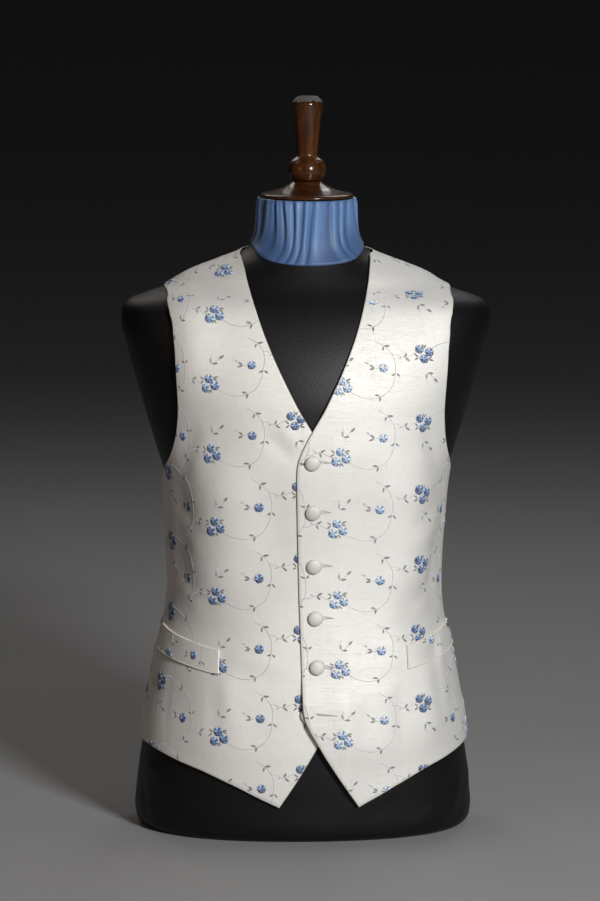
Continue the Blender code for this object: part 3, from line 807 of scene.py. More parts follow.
def thread_feeds(start):
    shade = start.node("ShaderNodeAttribute", {"attribute_name": "shade"}, out="Fac")
    place = start.node("ShaderNodeTexCoord", out="Object")
    height = place.node("ShaderNodeSeparateXYZ", None, {0: place}, out="Z")
    # Painted sheen: the blue threads are paler from 0.42 m up, high on the chest, where the light falls
    # on them.
    blues = ((0.5 - shade) * 8.0).clamped()
    paler = ((height - 0.42) * 8.0).clamped() * blues * 0.07  # the blues are paler high up
    dye = shade.node("ShaderNodeValToRGB", {"stops": list(zip(DYES.values(), DYE_COLOURS))},
                     {"Fac": shade + paler})
    twist = noise(place, (2600.0, 2600.0, 2600.0), 1.0)
    worn = blended(twist * 0.3 - 0.1, dye, (0.75, 0.77, 0.80, 1.0))
    return {"Base Color": worn, "Roughness": 0.40 + twist * 0.18, "Normal": bumped(twist, 0.05)}


thread = new_finish("embroidery_thread", {"Coat Weight": 0.5, "Coat Roughness": 0.45,
                                          "Specular IOR Level": 1.0},
                    thread_feeds)
print("dyes:", ", ".join(DYES))

# %% [markdown]
# ## Motifs made of stitches
#
# Satin stitch is thread laid side by side, so a petal is a fan of little rolls of thread and a leaf
# is two rows of slanting ones. Each stitch is a closed sliver of six faces, or of nine where it is
# thick at two places. A motif is built flat, in millimetres, with its stalk at the origin, and is
# copied many times later.

# %% One stitch
THREAD_RISE = 0.42


def stitch(start, end, width, shade, rise=THREAD_RISE, waists=(0.5,)):
    """A closed roll of thread between two points of the flat cloth, widest at its waists."""
    start, end = np.array(start, float), np.array(end, float)
    along = (end - start) / np.linalg.norm(end - start)
    aside = np.array([-along[1], along[0]]) * width / 2
    points = [(*start, 0.0)]
    for share in waists:
        centre = start + (end - start) * share
        points += [(*(centre + aside), 0.0), (*centre, rise), (*(centre - aside), 0.0)]
    points.append((*end, 0.0))
    last = len(points) - 1
    faces = [(0, 1, 2), (0, 2, 3), (0, 3, 1)]
    for k in range(1, last - 3, 3):
        faces += [(k, k + 3, k + 4, k + 1), (k + 1, k + 4, k + 5, k + 2), (k + 2, k + 5, k + 3, k)]
    faces += [(last - 3, last, last - 2), (last - 2, last, last - 1), (last - 1, last, last - 3)]
    return points, faces, [shade] * len(points)


print("a stitch has", len(stitch((0.0, 0.0), (3.0, 0.0), 1.0, 0.0)[1]), "faces")


# %% A flower, a leaf and a stem
def motif(name, stitches):
    """One flat object out of many stitches, whose tints are kept as its grain."""
    points, faces, shades = [], [], []
    for part in stitches:
        first = len(points)
        points += part[0]
        faces += [tuple(first + k for k in face) for face in part[1]]
        shades += part[2]
    mesh = bpy.data.meshes.new(name)
    mesh.from_pydata((np.array(points) * MM).tolist(), [], faces)
    face_outwards(mesh)
    mesh.attributes.new("grain", "FLOAT", "POINT").data.foreach_set("value", shades)
    return bpy.data.objects.new(name, mesh)


def turned_by(x, y, degrees):
    """A flat point, swung round the origin."""
    c, s = math.cos(math.radians(degrees)), math.sin(math.radians(degrees))
    return (x * c - y * s, x * s + y * c)


# The dyes of each of a flower's five petals, thread by thread from one side to the other. The petals
# that point right, up and up to the left hold the palest threads and the lower two the darkest, most of
# all the one at the lower
# left: painted light from above and the right, and painted shade below, over the blues of the thread.
PETAL_DYES_AND_SHADING = (("blue", "sky", "pale", "sky", "blue"), ("navy", "sky", "pale", "pale", "sky"),
          ("blue", "sky", "pale", "blue", "navy"), ("navy", "navy", "blue", "blue", "navy"),
          ("navy", "blue", "sky", "blue", "navy"))
PETAL_REACH, PETAL_SPREAD = 5.6, 2.35


def flower():
    for n in range(6):  # padding threads under the petals, which fill the gaps between them
        tip = turned_by(PETAL_REACH * 0.78, 0.0, 30 * n)
        yield stitch((-tip[0], -tip[1]), tip, 3.6, DYES["sky"], THREAD_RISE * 0.6)
    for k, dyes in enumerate(PETAL_DYES_AND_SHADING):
        for n, dye in enumerate(dyes):
            aside = (n - 2) / 2
            root = turned_by(0.45, aside * 0.5, 72 * k)
            tip = turned_by(PETAL_REACH * (1 - 0.16 * aside * aside), aside * PETAL_SPREAD, 72 * k)
            yield stitch(root, tip, 1.3, DYES[dye], THREAD_RISE * 1.7, (0.35, 0.8))


def leaf():
    for n in range(5):
        along = 0.2 + 1.1 * n
        half = 1.35 * math.sin(math.pi * min(0.24 + 0.17 * n, 1.0))
        for side in (-1, 1):
            yield stitch((along, 0.0), (along + 1.9, side * half), 1.0, -0.015 * ((n + side) % 3))


def stem():
    """Two plies of the vine, a grey one and a white one beside it."""
    yield stitch((-1.8, -0.34), (1.8, -0.10), 0.54, 0.0)
    yield stitch((-1.8, 0.10), (1.8, 0.36), 0.54, -0.03)


motifs = {"Flower": motif("flower", flower()), "Leaf": motif("leaf", leaf()),
          "Stitch": motif("stem_stitch", stem())}
for label, piece in motifs.items():
    print(label, len(piece.data.polygons), "faces")

# %% [markdown]
# ## The chart of the repeat
#
# An embroiderer's chart says where each motif goes in one repeat of the cloth. Here a sprig is
# charted once: three flowers in a bunch, a single one to the right, a vine that swings under and
# up between them, and pairs of leaves. The sprig, and the same sprig turned upside down half a
# repeat further on, fill the cloth.

# %% The chart
REPEAT_WIDTH, REPEAT_HEIGHT = 186.0, 77.7
FLOWERS = (  # x, y, heading
    (-1.5, 6.2, 12), (-5.7, -4.5, -14), (5.1, -1.4, 4), (45.0, 21.7, 28))
LEAVES = (  # x, y, heading, size, dye
    (3.6, 7.0, 14, 0.85, "bark"), (3.6, 6.2, -26, 0.75, "bark"),
    (-0.4, -5.6, -58, 0.75, "bark"), (-0.8, -6.4, 250, 0.65, "bark"),
    (-7.6, 4.8, 142, 0.8, "bark"), (-7.8, 4.0, 220, 0.8, "bark"),
    (1.6, 22.6, 4, 1.0, "bark"), (8.6, 28.2, 42, 1.05, "bark"), (0.4, 22.8, 98, 1.0, "slate"),
    (40.0, -9.0, 174, 0.9, "bark"), (40.8, -9.2, -100, 0.95, "bark"),
    (58.2, 16.0, 208, 0.85, "bark"), (59.0, 16.0, -46, 0.8, "bark"),
    (49.0, 46.6, 2, 1.0, "bark"), (48.2, 46.0, 258, 0.85, "bark"),
    (70.6, 33.6, -34, 0.9, "bark"), (69.6, 34.4, 58, 0.85, "bark"), (66.0, 34.4, 216, 0.6, "silver"),
    (35.0, 20.8, 188, 0.9, "bark"), (35.2, 21.8, 148, 0.9, "bark"), (29.8, 25.6, 146, 0.8, "silver"),
)
VINES = (
    ((9.0, -5.8), (16.0, -9.6), (24.0, -12.0), (32.0, -12.4), (40.0, -10.6), (47.0, -6.6),
     (52.4, -1.0), (55.8, 7.0), (57.4, 15.0), (58.4, 24.0), (57.8, 33.0), (54.0, 41.0),
     (48.4, 47.0), (41.0, 51.4)),
    ((57.6, 37.6), (61.6, 36.8), (66.6, 34.6), (72.0, 34.2), (78.0, 37.0), (84.6, 39.6)),
    ((0.6, 31.4), (-0.4, 26.4), (1.4, 22.8), (5.0, 24.2), (9.4, 29.0)),
    ((34.4, 21.2), (40.6, 21.0)),
)
print("a sprig has", len(FLOWERS), "flowers,", len(LEAVES), "leaves and", len(VINES), "vines")

# %% One repeat as points and lines
KINDS = {"vine": 0, "flower": 1, "leaf": 2}


def chart_mesh(name, marks, lines):
    """Loose points and lines in millimetres, with what the trees need to know about each."""
    rows = [(x, y, KINDS[kind], heading, size, DYES.get(dye, dye))
            for kind, x, y, heading, size, dye in marks]
    edges = []
    for dye, line in lines:
        edges += [(len(rows) + k, len(rows) + k + 1) for k in range(len(line) - 1)]
        rows += [(x, y, KINDS["vine"], 0.0, 1.0, DYES.get(dye, dye)) for x, y in line]
    mesh = bpy.data.meshes.new(name)
    mesh.from_pydata([(x * MM, y * MM, 0.0) for x, y, *_ in rows], edges, [])
    for k, (label, kind) in enumerate((("kind", "INT"), ("heading", "FLOAT"), ("size", "FLOAT"),
                                       ("tone", "FLOAT")), 2):
        values = [row[k] for row in rows]
        if label == "heading":
            values = [math.radians(v) for v in values]
        mesh.attributes.new(label, kind, "POINT").data.foreach_set("value", values)
    return bpy.data.objects.new(name, mesh)


def repeat_chart(name, upright, turned_down):
    """Both sprigs of one repeat, each with its flowers' tint, its leaves' tint and its vine's dye; on
    the lit front they hold painted sheen.
    """
    marks, lines = [], []
    for flip, shift, (tint, leaf_tint_and_sheen, vine_dye_and_sheen) in (
            (1, (0.0, 0.0), upright),
            (-1, (REPEAT_WIDTH / 2, REPEAT_HEIGHT / 2), turned_down)):
        def placed(x, y):
            return x + shift[0], y * flip + shift[1]

        marks += [("flower", *placed(x, y), heading, 1.0, tint) for x, y, heading in FLOWERS]
        marks += [("leaf", *placed(x, y), heading * flip, size, DYES[dye] + leaf_tint_and_sheen)
                  for x, y, heading, size, dye in LEAVES]
        lines += [(vine_dye_and_sheen, [placed(*point) for point in vine]) for vine in VINES]
    return chart_mesh(name, marks, lines)


# On the left front the upright sprig's flowers, leaves and vine are paler than elsewhere: painted
# sheen, for the light that falls on that part of the front. The other tints are small differences in
# the threads' dyes.
charts = {"right": repeat_chart("right_chart", (0.0, 0.0, 0.61), (-0.02, 0.0, 0.61)),
          "left": repeat_chart("left_chart", (0.15, -0.04, 0.53), (-0.03, 0.0, 0.60))}
print("one repeat:", len(charts["right"].data.vertices), "marks")

# %% [markdown]
# ## Laying stitches on cloth with Geometry Nodes
#
# Geometry Nodes suit this step: the tree repeats the chart over a grid, puts a motif on each mark
# and stem stitches along each vine, and then lifts the flat pattern onto the cloth. Sample UV
# Surface does that last part: for a point's place on the flat cloth it finds where that place is
# on the worn cloth. Stitches that fall outside the cut edge are taken away whole.

# %% Helpers for a geometry tree
def geometry_tree(name, inputs):
    tree = bpy.data.node_groups.new(name, "GeometryNodeTree")
    tree.interface.new_socket("Geometry", in_out="INPUT", socket_type="NodeSocketGeometry")
    for label, kind in inputs:
        tree.interface.new_socket(label, in_out="INPUT", socket_type=f"NodeSocket{kind}")
    tree.interface.new_socket("Geometry", in_out="OUTPUT", socket_type="NodeSocketGeometry")
    entry = tree.nodes.new("NodeGroupInput")
    return tree, {socket.name: Wire(tree, socket) for socket in entry.outputs if socket.name}


def finish_tree(shape, material):
    """Ends a tree: real meshes, smooth, of one material."""
    real = shape.node("GeometryNodeRealizeInstances", None, {"Geometry": shape})
    smooth = shape.node("GeometryNodeSetShadeSmooth", None, {"Geometry": real})
    final = shape.node("GeometryNodeSetMaterial", None, {"Geometry": smooth, "Material": material})
    shape.node("NodeGroupOutput", None, {"Geometry": final})


def grown(name, source, tree, values):
    """Runs a tree on a source object and keeps what comes out as one plain mesh object."""
    bpy.context.scene.collection.objects.link(source)
    modifier = source.modifiers.new("tree", "NODES")
    modifier.node_group = tree
    for item in tree.interface.items_tree:
        if item.in_out == "INPUT" and item.name in values:
            modifier[item.identifier] = values[item.name]
    bpy.context.view_layer.update()
    graph = bpy.context.evaluated_depsgraph_get()
    mesh = bpy.data.meshes.new_from_object(source.evaluated_get(graph))
    source.modifiers.clear()
    bpy.context.scene.collection.objects.unlink(source)
    mesh.name = name
    piece = bpy.data.objects.new(name, mesh)
    bpy.context.scene.collection.objects.link(piece)
    return piece


def named(start, label, kind="FLOAT"):
    """An attribute of the points that a tree works on."""
    return start.node("GeometryNodeInputNamedAttribute", {"data_type": kind}, {"Name": label})


print("motifs to lay:", ", ".join(motifs))

# %% The chart, repeated over a grid
lay_tree, given = geometry_tree("lay_stitches", (
    ("Repeat Width", "Float"), ("Repeat Height", "Float"), ("Columns", "Int"), ("Rows", "Int"),
    ("Origin", "Vector"), ("Stitch Length", "Float"), ("Unevenness", "Float"), ("Seed", "Int"),
    ("Flower", "Object"), ("Leaf", "Object"), ("Stitch", "Object"), ("Cloth", "Object"),
    ("Thread", "Material")))
start = given["Geometry"]
width = (given["Columns"] - 1.0) * given["Repeat Width"]
height = (given["Rows"] - 1.0) * given["Repeat Height"]
repeats = start.node("GeometryNodeMeshGrid", None, {
    "Size X": width, "Size Y": height, "Vertices X": given["Columns"],
    "Vertices Y": given["Rows"]})
repeats = start.node("GeometryNodeTransform", None, {
    "Geometry": repeats, "Translation": given["Origin"]})
pattern = start.node("GeometryNodeInstanceOnPoints", None, {
    "Points": repeats, "Instance": given["Geometry"]})
pattern = start.node("GeometryNodeRealizeInstances", None, {"Geometry": pattern})
print("nodes for the repeats:", len(lay_tree.nodes))

# %% Motifs on the marks, stem stitches along the vines
FLOWER_SPIN, LEAF_SPIN = 0.3, 0.16  # how far a motif may turn from its heading, in radians


def chance(spread, seed):
    """A number of its own for each point, between minus and plus the spread."""
    return start.node("FunctionNodeRandomValue", None, {
        2: -spread, 3: spread, "Seed": seed}, out=1)


size = named(start, "size") * (1.0 + chance(1.0, given["Seed"]) * given["Unevenness"])
parts = []
for label, code, spin in (("Flower", KINDS["flower"], FLOWER_SPIN),
                          ("Leaf", KINDS["leaf"], LEAF_SPIN)):
    heading = start.node("ShaderNodeCombineXYZ", None, {
        "Z": named(start, "heading") + chance(spin, given["Seed"] + float(code))})
    chosen = start.node("FunctionNodeCompare", {"data_type": "INT", "operation": "EQUAL"}, {
        2: named(start, "kind", "INT"), 3: code})
    thing = start.node("GeometryNodeObjectInfo", None, {"Object": given[label]}, out="Geometry")
    parts.append(start.node("GeometryNodeInstanceOnPoints", None, {
        "Points": pattern, "Selection": chosen, "Instance": thing, "Rotation": heading,
        "Scale": size}))
on_vine = start.node("FunctionNodeCompare", {"data_type": "INT", "operation": "EQUAL"}, {
    2: named(start, "kind", "INT"), 3: KINDS["vine"]})
vine = start.node("GeometryNodeSeparateGeometry", None, {
    "Geometry": pattern, "Selection": on_vine})
vine = start.node("GeometryNodeMeshToCurve", None, {"Mesh": vine})
vine = start.node("GeometryNodeCurveSplineType", {"spline_type": "CATMULL_ROM"}, {"Curve": vine})
vine = start.node("GeometryNodeResampleCurve", {"mode": "LENGTH"}, {
    "Curve": vine, "Length": given["Stitch Length"]})
along = start.node("FunctionNodeAlignRotationToVector", {"axis": "X"}, {
    "Vector": start.node("GeometryNodeInputTangent")})
thing = start.node("GeometryNodeObjectInfo", None, {"Object": given["Stitch"]}, out="Geometry")
parts.append(start.node("GeometryNodeInstanceOnPoints", None, {
    "Points": vine, "Instance": thing, "Rotation": along}))
flat = start.node("GeometryNodeJoinGeometry", None, {"Geometry": parts})
flat = start.node("GeometryNodeRealizeInstances", None, {"Geometry": flat})
print("nodes with the motifs:", len(lay_tree.nodes))

# %% Up onto the worn cloth
place = start.node("GeometryNodeInputPosition")
cloth = start.node("GeometryNodeObjectInfo", None, {"Object": given["Cloth"]}, out="Geometry")
cloth_uv = named(start, "cloth", "FLOAT_VECTOR")


def on_cloth(field):
    """What a field is at the spot of the worn cloth that a flat point belongs to."""
    return start.node("GeometryNodeSampleUVSurface", {"data_type": "FLOAT_VECTOR"}, {
        "Mesh": cloth, "Value": field, "Source UV Map": cloth_uv, "Sample UV": place})


ground = on_cloth(start.node("GeometryNodeInputPosition"))
facing = on_cloth(start.node("GeometryNodeInputNormal"))
lifted = start.node("ShaderNodeVectorMath", {"operation": "SCALE"}, {
    0: facing, "Scale": start.node("ShaderNodeSeparateXYZ", None, {0: place}, out="Z")})
worn_place = start.node("ShaderNodeVectorMath", {"operation": "ADD"}, {0: ground, 1: lifted})
outside = 1.0 - ground.twin("Is Valid")
island = start.node("GeometryNodeInputMeshIsland", out="Island Index")
missed = start.node("GeometryNodeAccumulateField", {"data_type": "FLOAT"}, {
    0: outside, "Group ID": island}, out="Total")
flat = start.node("GeometryNodeStoreNamedAttribute", {"data_type": "FLOAT"}, {
    "Geometry": flat, "Name": "shade", "Value": named(start, "tone") + named(start, "grain")})
flat = start.node("GeometryNodeStoreNamedAttribute", {"data_type": "FLOAT"}, {
    "Geometry": flat, "Name": "missed", "Value": missed})
worn = start.node("GeometryNodeSetPosition", None, {"Geometry": flat, "Position": worn_place})
worn = start.node("GeometryNodeDeleteGeometry", None, {
    "Geometry": worn, "Selection": named(start, "missed") > 0.5})
finish_tree(worn, given["Thread"])
print("lay_stitches has", len(lay_tree.nodes), "nodes")

# %% Embroidery on both fronts
STITCH_LENGTH = 2.5
FRONT_ORIGINS = {"right_front": (-114.2, 435.4), "left_front": (27.5, 434.0)}


def embroider(name, chart, target, origin, repeats=(1, 1), seed=7, unevenness=0.05, **things):
    """Lays a chart on a cloth. The origin is (U, V) in millimetres of the grid's middle repeat."""
    return grown(name, chart, lay_tree, {
        "Repeat Width": REPEAT_WIDTH * MM, "Repeat Height": REPEAT_HEIGHT * MM,
        "Columns": repeats[0], "Rows": repeats[1], "Origin": (*[c * MM for c in origin], 0.0),
        "Stitch Length": STITCH_LENGTH * MM, "Unevenness": unevenness, "Seed": seed,
        "Cloth": target, "Thread": thread, **{**motifs, **things}})


def cloth_height(height):
    """V, in millimetres, at a height."""
    return float(np.interp(height, LEVELS, up_body))


pieces = {}
for name, (across, height) in FRONT_ORIGINS.items():
    pieces[f"{name}_embroidery"] = embroider(
        f"{name}_embroidery", charts[name.split("_")[0]], laid[name],
        (across, cloth_height(height)), (3, 13))
for name, piece in pieces.items():
    print(name, len(piece.data.polygons), "faces")

# %% [markdown]
# ## Pocket welts
#
# A welt is a folded strip of the same silk, stitched over the pocket's mouth, so it stands on the
# front like a low step. It follows the front's own surface, creases and all, a little further out,
# and it is cut anywhere from the cloth: its flowers don't meet the ones round it.

# %% Welts
WELT_WALL, WELT_HEIGHT = 2.0, 26.5
WELT_ACROSS, WELT_TOPS = (105.0, 130.0, 153.0), (217.0, 222.5, 229.5)
WELT_END_TURN, WELT_END_TOP = 80.0, 232.5
WELT_STARTS = {"right_welt": (-1.9, -3.3), "left_welt": (0.0, -1.5)}  # shifts of the front end
WELT_COLUMNS, WELT_ROWS = 56, 16
WELT_ORIGINS = {"right_welt": (-193.0, 193.6), "left_welt": (93.0, 211.5)}
RIGHT_WELT_DROP = 3.0  # sewn on a little lower than the other
piping = motif("piping", [stitch((-1.9, 0.0), (1.9, 0.0), 0.95, 0.0, 0.5, (0.3, 0.7))])


def piping_chart(name, uv):
    """A line just inside both long edges of a welt and its front end."""
    top, end, low = (a * 0.5 + b * 0.5 for a, b in (
        (uv[0], uv[1]), (uv[:, 0], uv[:, 1]), (uv[-1], uv[-2])))
    path = [*top[-1:0:-1], *end[1:-1:2], *low[1:]]
    return chart_mesh(name, [], [("cream", [tuple(spot) for spot in path])])


welt_turns = turn_at(np.array(WELT_ACROSS), np.array(WELT_TOPS))
welt_top = Line((*welt_turns, WELT_END_TURN), (*WELT_TOPS, WELT_END_TOP))
for name, side in (("right_welt", -1), ("left_welt", 1)):
    front = welt_turns[0] + np.linspace(*WELT_STARTS[name], WELT_ROWS + 1)[:, None]
    turn = front + (WELT_END_TURN - front) * np.linspace(0.0, 1.0, WELT_COLUMNS + 1)[None, :]
    height = welt_top(turn) - np.linspace(0.0, WELT_HEIGHT, WELT_ROWS + 1)[:, None]
    height = height - (RIGHT_WELT_DROP if side < 0 else 0.0)
    turn, height = np.broadcast_arrays(turn, height)
    uv = cloth_place(turn, height, side)
    lift = worn_front_lift(side, turn, height) + WALL + SEAM_GAP
    inner, outer = (on_side(above(turn, height, lift + extra), side) for extra in (0.0, WELT_WALL))
    panels[name] = panel(f"{name}_cloth", outer, inner, uv)
    laid[name] = laid_sheet(f"{name}_laid", outer, uv)
    across, height = WELT_ORIGINS[name]
    pieces[f"{name}_embroidery"] = embroider(
        f"{name}_embroidery", charts[name.split("_")[0]], laid[name],
        (across, cloth_height(height)), (3, 3), seed=11)
    pieces[f"{name}_piping_embroidery"] = embroider(
        f"{name}_piping", piping_chart(f"{name}_outline", uv), laid[name], (0.0, 0.0), Stitch=piping)
    print(name, len(panels[name].data.polygons), "faces")

# %% [markdown]
# ## Buttonholes
#
# Each buttonhole is a slit bound all round with short stitches over a thin cord. The same tree
# lays them: the chart is now the outline of one hole, a long drop that narrows away from the
# button, with a binding stitch across it about every half millimetre.

# %% Buttonholes
BUTTON_HEIGHTS = (426.0, 371.0, 310.0, 251.0, 197.0)  # the fastened ones
LAST_BUTTON_HEIGHT = 145.0  # left undone, under the lap
HOLE_LENGTH, HOLE_WIDTH, HOLE_TILT, HOLE_RISE = 20.5, 3.6, -2.0, 1.4
SHUT_HOLE_WIDTH, SHUT_HOLE_TILT = 1.5, -3.0
BINDING_STEP = 0.55


def hole_chart(name, tilt, width):
    """Binding stitches round a slit that starts at the origin and runs along U."""
    def along_hole(share, side):
        narrowing = 1.0 - share ** 2
        return turned_by(share * HOLE_LENGTH - 1.5, side * width / 2 * narrowing, tilt)

    count = int(HOLE_LENGTH / BINDING_STEP)
    marks = []
    for side in (-1, 1):
        for n in range(count + 1):
            marks.append(("leaf", *along_hole(n / count, side), 90 + tilt + 6 * side, 1.0, "beige"))
    slit = [along_hole(n / count, 0) for n in range(count + 1)]
    # The dark line down the middle is the slit's shadow, painted as a low dark thread.
    return chart_mesh(name, marks, [("bark", slit)])


bar = motif("binding_stitch", [stitch((-0.75, 0.0), (0.75, 0.0), 0.72, 0.0)])
# A low dark stitch that paints the slit's shadow.
slit_shadow_stitch = motif("slit", [stitch((-1.6, 0.0), (1.6, 0.0), 0.5, 0.0, 0.12)])
holes = []
for number, height in enumerate((*BUTTON_HEIGHTS, LAST_BUTTON_HEIGHT), 1):
    shape = ((HOLE_TILT, HOLE_WIDTH) if height > LAST_BUTTON_HEIGHT
             else (SHUT_HOLE_TILT, SHUT_HOLE_WIDTH))
    place = cloth_place(turn_at(button_line(height), np.array(height)), height, 1) + (0, HOLE_RISE)
    holes.append(embroider(f"hole_{number}", hole_chart("hole_chart", *shape), laid["left_front"],
                           place, seed=number, unevenness=0.12, Leaf=bar, Stitch=slit_shadow_stitch))


def joined(name, parts):
    """One mesh object out of several, keeping their attributes."""
    with bpy.context.temp_override(active_object=parts[0], selected_editable_objects=parts):
        bpy.ops.object.join()
    parts[0].name = parts[0].data.name = name
    return parts[0]


pieces["buttonholes"] = joined("buttonholes", holes)
print("buttonholes", len(pieces["buttonholes"].data.polygons), "faces")

# %% [markdown]
# ## Covered buttons
#
# A covered button is a metal dome with the silk stretched over it and tucked in behind. A round
# shape could be a squashed sphere, but the profile matters here: a low dome, a soft shoulder, and
# a waist where the cloth turns under. So it is a profile turned about its axis.

# %% A profile turned about its axis
def turned(profile, sides):
    """Points and faces of a closed shape turned round Z from (radius, height) rows."""
    angles = np.linspace(0.0, 2 * math.pi, sides, endpoint=False)
    points, faces, rings = [], [], []
    for radius, height in profile:
        first = len(points)
        if radius == 0.0:
            points.append((0.0, 0.0, height))
            rings.append([first] * sides)
            continue
        points += np.stack([radius * np.cos(angles), radius * np.sin(angles),
                            np.full(sides, height)], -1).tolist()
        rings.append(list(range(first, first + sides)))
    for low, high in zip(rings, rings[1:]):
        for k in range(sides):
            n = (k + 1) % sides
            faces.append(tuple(dict.fromkeys((low[k], low[n], high[n], high[k]))))
    return np.array(points), faces


print("a double cone of 6 sides has", len(turned([(0.0, 0.0), (1.0, 1.0), (0.0, 2.0)], 6)[1]), "faces")

# %% Buttons
BUTTON_RADIUS, BUTTON_RISE, BUTTON_SIDES = 8.3, 5.2, 48


def button_profile():
    rows = [(0.0, 0.0), (BUTTON_RADIUS * 0.55, 0.0), (BUTTON_RADIUS * 0.62, 1.0),
            (BUTTON_RADIUS * 0.90, 1.5)]
    for step in range(0, 13):
        angle = math.radians(7.5 * step - 6)
        rows.append((BUTTON_RADIUS * math.cos(angle),
                     BUTTON_RISE * (0.47 + 0.53 * max(math.sin(angle), -0.1))))
    rows[-1] = (0.0, BUTTON_RISE)
    return rows


def covered_button(number, height, side):
    turn = turn_at(button_line(height), np.array(height))
    uv = cloth_place(turn, height, side)
    lift = worn_front_lift(side, turn, height) + WALL + SEAM_GAP
    seat = Vector(on_side(above(turn, height, lift), side))
    axis = Vector(on_side(outward(turn, height), side))
    points, faces = turned(button_profile(), BUTTON_SIDES)
    flat = points[:, :2] * 1.02 + np.array([37.0 * number, 19.0])
    facing = Vector((0, 0, 1)).rotation_difference(axis).to_matrix() @ Matrix.Rotation(
        math.radians(31 * number), 3, "Z")
    points = points @ np.array(facing).T + np.array(seat)
    return new_piece(f"button_{number}_cover", points, faces, flat)


for number, height in enumerate((*BUTTON_HEIGHTS, LAST_BUTTON_HEIGHT), 1):
    last = height == LAST_BUTTON_HEIGHT
    pieces[f"button_{number}"] = covered_button(number, height, -1 if last else 1)
print("six buttons of", BUTTON_SIDES, "sides")

# %% [markdown]
# ## The dress form
#
# The torso under the waistcoat is a padded form in a close black cover. Its mesh is a finer reading
# of the same sections, with a few slack folds low on its sides, where the cover is loose. Folds
# that face the waistcoat stay under its cloth.

# %% The black cover
FORM_SIDES, FORM_RINGS = 160, 150
FORM_FOLDS = (  # turn from the front, positive to the left; height; turn; height; width; rise
    (44, 12, 66, 66, 7, 2.0), (50, 4, 78, 54, 6, -1.8), (30, 8, 50, 44, 7, 1.3),
    (58, 14, 84, 78, 5, 1.7), (66, 4, 88, 44, 5, -1.4), (-30, 18, -62, 52, 9, 1.4),
    (-20, 6, -54, 30, 7, -1.1), (-64, 6, -80, 62, 8, -1.3), (-48, 46, -76, 80, 8, 1.2),
    (8, 34, 34, 72, 9, 1.1), (120, 10, 146, 60, 8, 1.1), (-112, 12, -140, 66, 8, 1.0),
    (160, 10, 176, 70, 9, -0.9), (-158, 8, -170, 56, 8, 0.9),
)
BASE_HALF_WIDTH = 190.0
FOLDS_END, FOLDS_FADE = 95, 25  # no fold above the first height; they fade out over the second


def form_mesh():
    """Points and faces of the torso, closed at its base and under the cap."""
    levels = np.concatenate([np.array([0.0, 0.8, 2.0, 3.6, 6.0]),
                             np.linspace(9.0, FORM_TOP, FORM_RINGS)])
    angle = np.linspace(0.0, 360.0, FORM_SIDES, endpoint=False)
    side = np.where(angle <= 180, 1.0, -1.0)
    turn = np.minimum(angle, 360 - angle)
    turn, height = np.meshgrid(turn, levels)
    signed = turn * side
    speed = BASE_HALF_WIDTH * math.pi / 180  # millimetres for one degree
    folds = [(a * speed, b, c * speed, d, *rest) for a, b, c, d, *rest in FORM_FOLDS]
    lift = crease_lift(signed * speed, height, folds)
    lift = lift * smooth_step((FOLDS_END - height) / FOLDS_FADE)
    points = above(turn, height, lift) * np.stack([side + 0 * levels[:, None],
                                                   1 + 0 * height, 1 + 0 * height], -1)
    points[0, :, 2] = 0.0
    points = np.concatenate([points.reshape(-1, 3), [(0, 0, 0.0), (0, 0, FORM_TOP)]])
    index = np.arange(len(levels) * FORM_SIDES).reshape(len(levels), FORM_SIDES)
    faces = quads(index, closed=True)
    base, top = len(points) - 2, len(points) - 1
    for k in range(FORM_SIDES):
        n = (k + 1) % FORM_SIDES
        faces += [(base, index[0, n], index[0, k]), (top, index[-1, k], index[-1, n])]
    return points, faces


pieces["form"] = new_piece("form_cover", *form_mesh())
print("form", len(pieces["form"].data.polygons), "faces")


# %% Black cotton
def jersey_feeds(start):
    place = start.node("ShaderNodeTexCoord", out="Object")
    wales = scaled(place, (1.0, 1.0, 0.35))
    rib = noise(wales, (900.0, 900.0, 900.0), 2.0)
    lint = ((noise(place, (240.0, 240.0, 240.0), 3.0) - 0.64) * 6.0).clamped()
    rub = noise(place, (14.0, 14.0, 9.0), 3.0)
    tone = blended(rub * 0.9 + rib * 0.3 - 0.2, (0.002, 0.002, 0.0022, 1.0),
                   (0.006, 0.006, 0.0065, 1.0))
    return {"Base Color": blended(lint * 0.2, tone, (0.04, 0.04, 0.045, 1.0)),
            "Roughness": 0.40 + rib * 0.15, "Normal": bumped(rib + rub * 0.4, 0.18)}


jersey = new_finish("black_cotton_cover", {"Specular IOR Level": 0.25}, jersey_feeds)
print("finish:", jersey.name)

# %% [markdown]
# ## The gathered neck
#
# A band of blue sateen is drawn up under the wooden cap, so it falls in folds that are close and
# deep at the top and open lower down. The folds could be simulated, but a tube of so few gathers is
# simpler to shape: its radius swings in and out, at uneven steps.

# %% The gathers
GATHERS = 24


def gather_wave(angle, share):
    """How far out the cloth stands, from 0 to 1, at an angle round the neck and a share up it."""
    lean = (1 - share) * (1.3 * np.sin(3 * angle + 0.4) + 1.1 * np.sin(7 * angle + 2.0))
    drift = 1.5 * np.sin(2 * angle + 0.7) + 1.1 * np.sin(5 * angle + 1.9) + 0.8 * np.sin(
        9 * angle + 0.4) + 2.2 * lean
    wave = 0.5 + 0.5 * np.cos(GATHERS * angle + drift)
    small = 0.5 + 0.5 * np.cos(2 * GATHERS * angle + 1.7 * drift + 1.1)
    deep = 0.5 + 0.5 * np.sin(4 * angle + 1.0 + 1.5 * share)
    return (1 - (1 - wave) ** 1.8) * (0.55 + 0.45 * deep) + 0.30 * small * share


print("gathers round the neck:", GATHERS)

